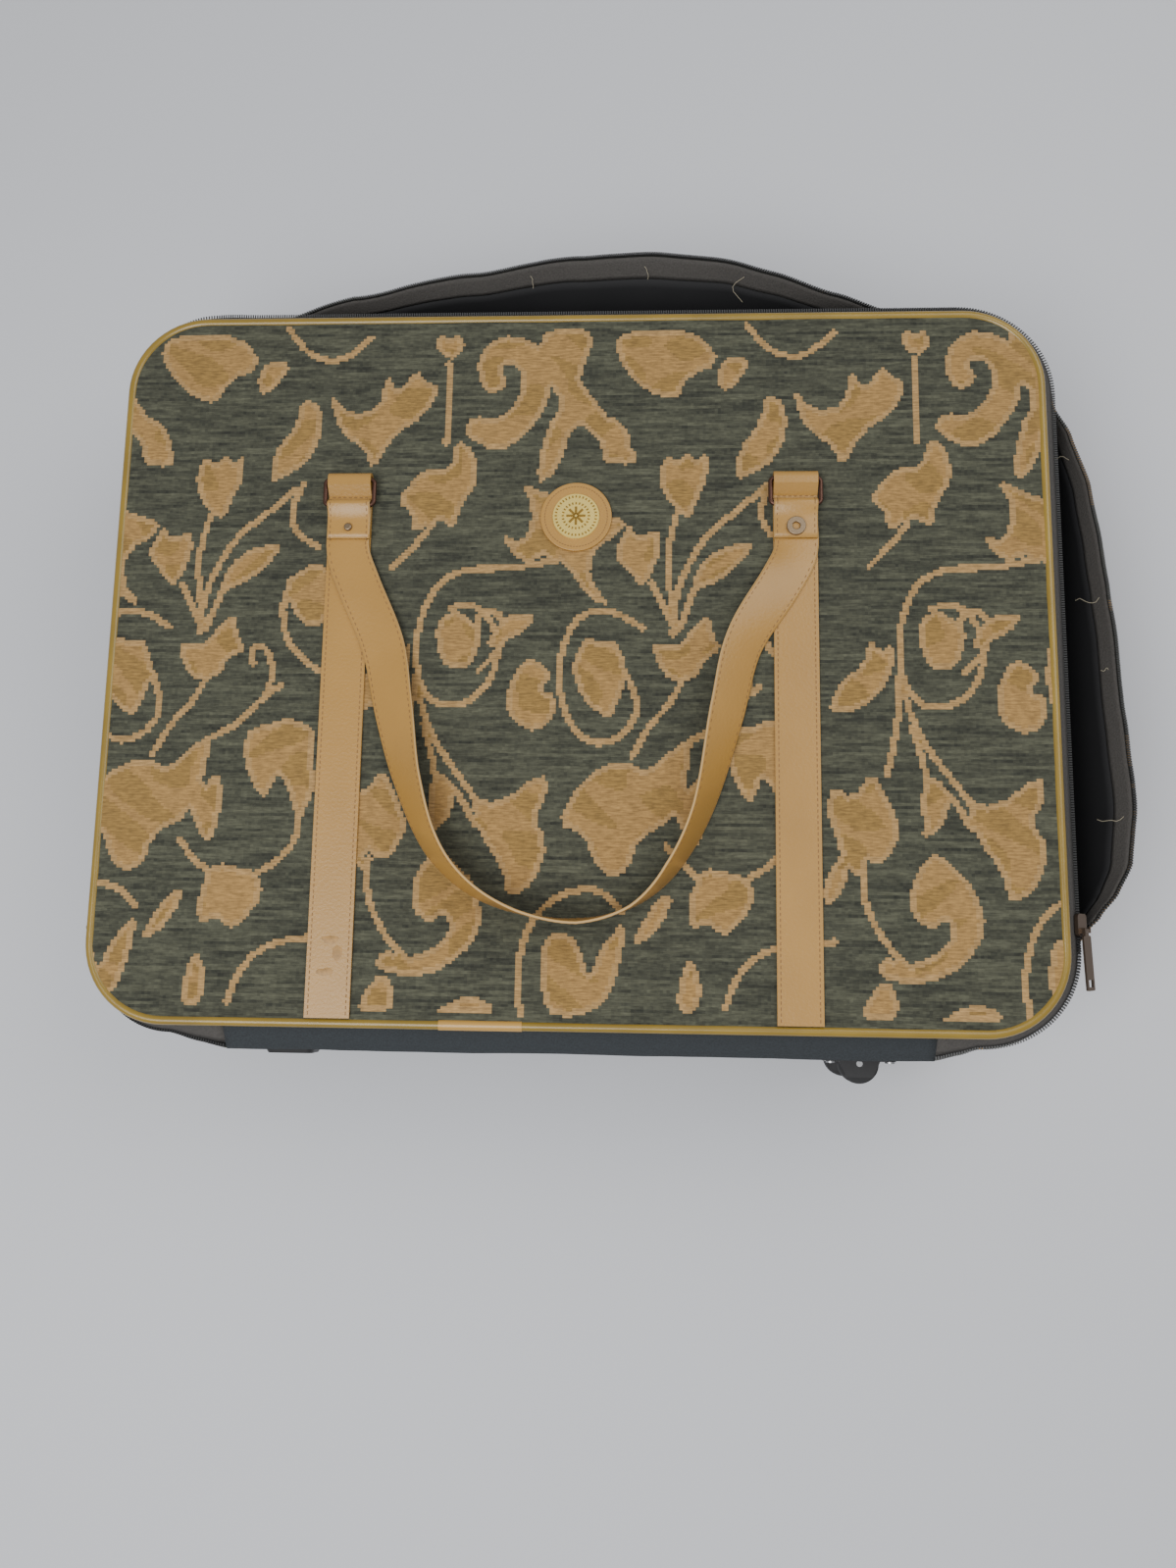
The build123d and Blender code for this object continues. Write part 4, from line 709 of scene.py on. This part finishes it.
lining = skin("wall_lining_cloth", 0.0, PERIMETER, 6.0, 24, wall_reach, lambda s: WALL_BASE,
              lambda s: rim_z(s) - TAPE_WIDTH - TAPE_GAP, LINING_FACE, LINING_FACE + LINING,
              ["lining"], "case", loop=True)
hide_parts("wall_lining")

rear_tape = skin("rear_tape_cloth", ZIP_START, ZIP_END, 5.0, 5, wall_reach,
                 lambda s: rim_z(s) - TAPE_WIDTH, rim_z, LINING_FACE, LINING_FACE + REAR_TAPE,
                 ["tape"], "case")
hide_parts("rear_zip_tape")

front_tape = skin("front_tape_cloth", ZIP_START, ZIP_END, 5.0, 4, skirt_reach,
                  lambda s: SKIRT_LOW + COIL_HEIGHT, lambda s: SKIRT_TOP, 0.0, FRONT_TAPE,
                  ["tape"], "lid")
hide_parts("front_zip_tape")


def blocks(name, places, size, mat, body):
    """Many small blocks in one mesh; each place is a point with its three directions."""
    points, faces = [], []
    hx, hy, hz = (v / 2 * MM for v in size)
    corners = [(-1, -1, -1), (1, -1, -1), (1, 1, -1), (-1, 1, -1),
               (-1, -1, 1), (1, -1, 1), (1, 1, 1), (-1, 1, 1)]
    sides = [(0, 3, 2, 1), (4, 5, 6, 7), (0, 1, 5, 4), (1, 2, 6, 5), (2, 3, 7, 6), (3, 0, 4, 7)]
    for point, ax, ay, az in places:
        base = len(points)
        for a, b, c in corners:
            points.append(point + ax * (a * hx) + ay * (b * hy) + az * (c * hz))
        faces += [tuple(base + k for k in side) for side in sides]
    return mesh_piece(name, points, faces, [mat], body, smooth=False)


def coil_teeth(name, reach, height, inset, body, node):
    """The turns of a zip's coil, one block each."""
    places = []
    count = int((ZIP_END - ZIP_START) / COIL_PITCH)
    for i in range(count):
        s = ZIP_START + (i + 0.5) * COIL_PITCH
        x, y, nx, ny = edge_point(s)
        z = height(s)
        out = reach(s, z) - inset
        side = Vector((-ny, nx, 0))
        lean = (side * 0.94 + Vector((0, 0, 0.34))).normalized()
        face = Vector((nx, ny, 0))
        places.append((place(x + nx * out, y + ny * out, z), lean, face, lean.cross(face)))
    teeth = blocks(name, places, (TURN_LENGTH, COIL_DEPTH, COIL_HEIGHT), "coil", body)
    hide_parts(node)


coil_teeth("rear_coil_turns", wall_reach, lambda s: rim_z(s) + COIL_HEIGHT / 2,
           REAR_COIL_INSET, "case", "rear_zip_coil")
coil_teeth("front_coil_turns", skirt_reach, lambda s: SKIRT_LOW + COIL_HEIGHT / 2,
           FRONT_COIL_INSET, "lid", "front_zip_coil")


# Handles
def handle_keys(flat):
    """Points of the strap's middle line from one flap's end to the other, each with the
    direction across the strap."""
    keys = []
    for x, sign in ((LEFT_X, 1.0), (RIGHT_X, -1.0)):
        across = Vector((sign, 0, 0))
        end = [((x, FLAP_END, UNDER_MID + STRAP_THICKNESS), across),
               ((x, FLAP_END + 8, UNDER_MID + STRAP_THICKNESS), across),
               ((x, BAR_Y - 7, UNDER_MID + STRAP_THICKNESS + 0.3), across)]
        for degrees in (90, 60, 30, 0, -30, -60, -90):
            turn = math.radians(degrees)
            end.append(((x, BAR_Y + BAR_ROOM * math.cos(turn), BAR_Z + BAR_ROOM * math.sin(turn)),
                        across))
        end.append(((x, BAR_Y - 8, UNDER_MID), across))
        keys.append(end)
    middle = []
    for k, (x, y, tilt) in enumerate(COURSE):
        before, after = COURSE[max(k - 1, 0)], COURSE[min(k + 1, len(COURSE) - 1)]
        heading = Vector((after[0] - before[0], after[1] - before[1], 0)).normalized()
        if k in (0, len(COURSE) - 1):
            heading = Vector((0, -1.0 if k == 0 else 1.0, 0))
        lean = 0.0 if flat else math.radians(tilt)
        across = Vector((-heading.y * math.cos(lean), heading.x * math.cos(lean), math.sin(lean)))
        rise = STRAP_THICKNESS / 2 * abs(math.cos(lean)) + STRAP_WIDTH / 2 * math.sin(lean)
        middle.append(((x, y, UNDER_MID - STRAP_THICKNESS / 2 + rise), across))
    return keys[0] + middle + keys[1][::-1]


def handle_sections(flat):
    """Smooth the keys into close sections."""
    keys = [(Vector(p), a) for p, a in handle_keys(flat)]
    sections = []
    for k in range(len(keys) - 1):
        p0, p1 = keys[max(k - 1, 0)], keys[k]
        p2, p3 = keys[k + 1], keys[min(k + 2, len(keys) - 1)]
        span = (p2[0] - p1[0]).length
        count = max(2, min(12, int(span / 4)))
        for i in range(count):
            t = i / count
            m1 = (p2[0] - p0[0]) * (span / max(1e-6, (p2[0] - p0[0]).length))
            m2 = (p3[0] - p1[0]) * (span / max(1e-6, (p3[0] - p1[0]).length))
            point = (p1[0] * (2 * t**3 - 3 * t**2 + 1) + m1 * (t**3 - 2 * t**2 + t)
                     + p2[0] * (-2 * t**3 + 3 * t**2) + m2 * (t**3 - t**2))
            across = p1[1].lerp(p2[1], t).normalized()
            sections.append((point, across))
    sections.append((keys[-1][0], keys[-1][1]))
    return sections


def strap_frames(flat, mirrored):
    """Points of the strap with their three directions, turned over for the back."""
    frames = []
    sections = handle_sections(flat)
    for k, (point, across) in enumerate(sections):
        before = sections[max(k - 1, 0)][0]
        after = sections[min(k + 1, len(sections) - 1)][0]
        tangent = (after - before).normalized()
        across = (across - tangent * across.dot(tangent)).normalized()
        normal = tangent.cross(across)
        spot = place(*point)
        if mirrored:
            spot.z = MIRROR_Z * MM - spot.z
            tangent.z, across.z, normal.z = -tangent.z, -across.z, -normal.z
        frames.append((spot, tangent, across, normal))
    return frames


def strap_piece(name, frames, node, body, mirrored):
    """A stitched carrying strap with soft edges."""
    half, thick = STRAP_WIDTH / 2, STRAP_THICKNESS / 2
    outline = [(-half, 0.0), (-half + 0.4, thick * 0.8), (-half + 1.2, thick), (0, thick),
               (half - 1.2, thick), (half - 0.4, thick * 0.8), (half, 0.0),
               (half - 0.4, -thick * 0.8), (half - 1.2, -thick), (0, -thick),
               (-half + 1.2, -thick), (-half + 0.4, -thick * 0.8)]
    points, faces, picks = [], [], []
    n = len(outline)
    for spot, tangent, across, normal in frames:
        for a, b in outline:
            points.append(spot + across * (a * MM) + normal * (b * MM))
    for k in range(len(frames) - 1):
        for i in range(n):
            j = (i + 1) % n
            quad = (k * n + i, k * n + j, (k + 1) * n + j, (k + 1) * n + i)
            faces.append(quad if mirrored else quad[::-1])
            picks.append(1 if i in (0, 5, 6, 11) else 0)
    first, last = list(range(n)), [len(points) - n + i for i in range(n)]
    faces.append(first if not mirrored else first[::-1])
    faces.append(last[::-1] if not mirrored else last)
    picks += [0, 0]
    strap = mesh_piece(name, points, faces, ["strap", "strap_edge"], body, picks=picks)
    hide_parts(node)
    return strap


def stitch_rows(name, frames, body):
    """Two rows of stitches, on both faces of a strap."""
    places = []
    travelled, due = 0.0, 2.0
    for (p, t, a, n), (q, _, _, _) in zip(frames, frames[1:]):
        travelled += (q - p).length / MM
        if travelled < due:
            continue
        due += STITCH_PITCH
        for side in (-1, 1):
            for face in (-1, 1):
                spot = p + a * (side * (STRAP_WIDTH / 2 - STITCH_MARGIN) * MM)
                places.append((spot + n * (face * STRAP_THICKNESS / 2 * MM), t, a, n))
    return blocks(name, places, (2.0, 0.55, 0.25), "thread", body)


front_frames = strap_frames(False, False)
strap_piece("front_handle_strap", front_frames, "front_handle", "front_handle", False)
stitch_rows("front_handle_stitches", front_frames, "front_handle")
rear_frames = strap_frames(True, True)
strap_piece("rear_handle_strap", rear_frames, "rear_handle", "rear_handle", True)


def strap_stitches(name, x, mirrored, body):
    """Stitches along both edges of a trim strap, and across its turned end."""
    places = []
    up = Vector((0, 0, -1 if mirrored else 1))
    face = PANEL_TOP + STRAP_THICKNESS
    z = MIRROR_Z - face if mirrored else face
    y = -HALF_WIDTH + TRIM_FOOT
    while y < TRIM_END:
        for side in (-1, 1):
            spot = place(x + side * (STRAP_WIDTH / 2 - TRIM_STITCH_MARGIN), y, z)
            places.append((spot, Vector((0, 1, 0)), Vector((1, 0, 0)), up))
        y += STITCH_PITCH
    for k in range(-3, 4):
        spot = place(x + k * STITCH_PITCH, TURNED_END + STRAP_THICKNESS * 0.8,
                     MIRROR_Z - face - STRAP_THICKNESS if mirrored else face + STRAP_THICKNESS)
        places.append((spot, Vector((1, 0, 0)), Vector((0, 1, 0)), up))
    return blocks(name, places, (2.0, 0.6, 0.22), "thread", body)


strap_stitches("stitches_front_left", LEFT_X, False, "lid")
strap_stitches("stitches_front_right", RIGHT_X, False, "lid")
strap_stitches("stitches_rear_left", LEFT_X, True, "case")
strap_stitches("stitches_rear_right", RIGHT_X, True, "case")


# Medallion: generic rosette with beads, no lettering
def medallion():
    """Beads, petals and the seam of the patch, in rings round the disc's middle."""
    low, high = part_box("medallion_disc")
    centre = Vector(((low.x + high.x) / 2, (low.y + high.y) / 2, high.z))
    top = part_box("medallion_patch")[1].z
    up = Vector((0, 0, 1))

    def ring(count, radius, height):
        spots = []
        for k in range(count):
            turn = 2 * math.pi * k / count
            out = Vector((math.cos(turn), math.sin(turn), 0))
            spots.append((Vector((centre.x, centre.y, height)) + out * (radius * MM), out))
        return spots

    beads = []
    for count, radius in BEAD_RINGS:
        beads += [(spot, out, up.cross(out), up) for spot, out in ring(count, radius, high.z)]
    petals = [(spot, out, up.cross(out), up) for spot, out in ring(PETALS, PETAL_MIDDLE, high.z)]
    stitches = [(spot, up.cross(out), out, up)
                for spot, out in ring(PATCH_STITCHES, PATCH_SEAM, top)]
    blocks("medallion_beads", beads, (1.5, 0.9, 0.5), "gold_shade", "lid")
    blocks("medallion_rosette", petals, (5.4, 1.5, 0.7), "gold_shade", "lid")
    blocks("medallion_stitches", stitches, (1.3, 0.5, 0.25), "thread", "lid")


medallion()

# CAD pieces that keep their shape
for node, mat in {
    "back_board": "board", "back_lining": "lining", "bottom_board": "board",
    "rear_piping": "piping", "front_piping": "piping", "piping_sleeve": "sleeve",
    "rear_strap_left": "strap", "rear_strap_right": "strap", "front_strap_left": "strap",
    "front_strap_right": "strap", "rear_ring_left": "ring", "rear_ring_right": "ring",
    "front_ring_left": "ring", "front_ring_right": "ring", "wheel_housing_upper": "plastic",
    "wheel_housing_lower": "plastic", "axle_upper": "steel", "axle_lower": "steel",
    "wheel_upper": "rubber", "wheel_lower": "rubber", "wheel_rivets": "steel",
    "foot_upper": "plastic", "foot_lower": "plastic", "foot_screws": "steel",
    "front_board": "board", "front_lining": "lining", "snap_stud": "snap",
    "snap_socket": "snap", "medallion_patch": "strap", "medallion_disc": "gold",
    "slider_right": "bronze", "slider_left": "bronze", "pull_right": "bronze",
    "pull_left": "bronze",
}.items():
    dress(node, mat)


# Wear: glue marks on the left strap, loose threads inside the rim
def blob(name, x, y, z, rx, ry, mat, body, seed):
    """A thin uneven patch lying on a surface."""
    points = [place(x, y, z + 0.12)]
    count = 28
    for ring, height in ((0.6, 0.1), (1.0, 0.0)):
        for k in range(count):
            turn = 2 * math.pi * k / count
            spot = Vector((math.cos(turn) * 1.3, math.sin(turn) * 1.3, seed))
            size = ring * (1.0 + 0.5 * noise.noise(spot))
            points.append(place(x + rx * size * math.cos(turn), y + ry * size * math.sin(turn),
                                z + height))
    faces = [(0, 1 + k, 1 + (k + 1) % count) for k in range(count)]
    faces += [(1 + k, 1 + count + k, 1 + count + (k + 1) % count, 1 + (k + 1) % count)
              for k in range(count)]
    return mesh_piece(name, points, faces, [mat], body)


THREAD_RADIUS = 0.2
GLUE_MARKS = ((-150, -184, 5, 3), (-145, -192, 3, 5), (-152, -204, 6, 2.5))
for k, (x, y, rx, ry) in enumerate(GLUE_MARKS):
    blob(f"glue_mark_{k}", x, y, PANEL_TOP + STRAP_THICKNESS + 0.02, rx, ry, "stain", "lid",
         11.0 + k)


def loose_thread(name, s, length, seed):
    """A frayed yarn end hanging from the tape."""
    x, y, nx, ny = edge_point(s)
    out = wall_reach(s, rim_z(s) - 4.0) - LINING_FACE - 1.3
    curve = bpy.data.curves.new(name, "CURVE")
    curve.dimensions = "3D"
    curve.bevel_depth = THREAD_RADIUS * MM
    line = curve.splines.new("POLY")
    count = 7
    line.points.add(count - 1)
    for k in range(count):
        t = k / (count - 1)
        sway = noise.noise(Vector((seed, t * 2.0, 0.0))) * length * 0.5
        inward = out - t * length * 0.8
        point = place(x + nx * inward - ny * sway, y + ny * inward + nx * sway,
                      rim_z(s) - 5.0 - t * t * length * 0.5)
        line.points[k].co = (*point, 1.0)
    thread = bpy.data.objects.new(name, curve)
    curve.materials.append(MATS["fray"])
    bpy.context.scene.collection.objects.link(thread)
    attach(thread, "case")


THREAD_SHARES = (0.07, 0.12, 0.18, 0.21, 0.27, 0.37, 0.43, 0.47, 0.52)
for k, share in enumerate(THREAD_SHARES):
    loose_thread(f"loose_thread_{k}", ZIP_START + share * (ZIP_END - ZIP_START),
                 12.0 + 7.0 * math.sin(k * 2.3), 3.1 * k)

# Floor, lights and camera
floor_data = bpy.data.meshes.new("floor")
floor_data.from_pydata([(-4, -4, 0), (4, -4, 0), (4, 4, 0), (-4, 4, 0)], [], [(0, 1, 2, 3)])
floor_material = material("pale_floor", (0.62, 0.63, 0.66), 0.9)
floor_data.materials.append(floor_material)
floor = bpy.data.objects.new("floor", floor_data)
bpy.context.scene.collection.objects.link(floor)


def area_light(name, where, target, power, size):
    """A soft square light that faces a point."""
    data = bpy.data.lights.new(name, "AREA")
    data.energy = power
    data.size = size
    light = bpy.data.objects.new(name, data)
    light.location = where
    aim = Vector(target) - Vector(where)
    light.rotation_euler = aim.to_track_quat("-Z", "Y").to_euler()
    bpy.context.scene.collection.objects.link(light)


area_light("key_light", (-0.5, -0.7, 1.7), (0, 0, 0.1), 26.0, 1.1)
area_light("fill_light", (0.9, 0.5, 1.5), (0, 0, 0.1), 12.0, 1.2)
world = bpy.data.worlds.new("studio")
world.use_nodes = True
world.node_tree.nodes["Background"].inputs["Color"].default_value = (0.93, 0.94, 0.96, 1.0)
world.node_tree.nodes["Background"].inputs["Strength"].default_value = 0.5
bpy.context.scene.world = world

camera_data = bpy.data.cameras.new("camera")
camera_data.lens = 28.14
camera_data.sensor_width = 36.0
camera_data.clip_start = 0.01
camera = bpy.data.objects.new("camera", camera_data)
view_axis = Vector((-0.050, 0.1569, -0.9863)).normalized()
view_up = Vector((-0.0078, 0.9875, 0.1575))
side_axis = view_axis.cross(view_up).normalized()
true_up = side_axis.cross(view_axis)
spot = place(49.5, -205.8, 940.2)
turn = Matrix((side_axis, true_up, -view_axis)).transposed()
camera.matrix_world = Matrix.Translation(spot) @ turn.to_4x4()
bpy.context.scene.collection.objects.link(camera)
bpy.context.scene.camera = camera
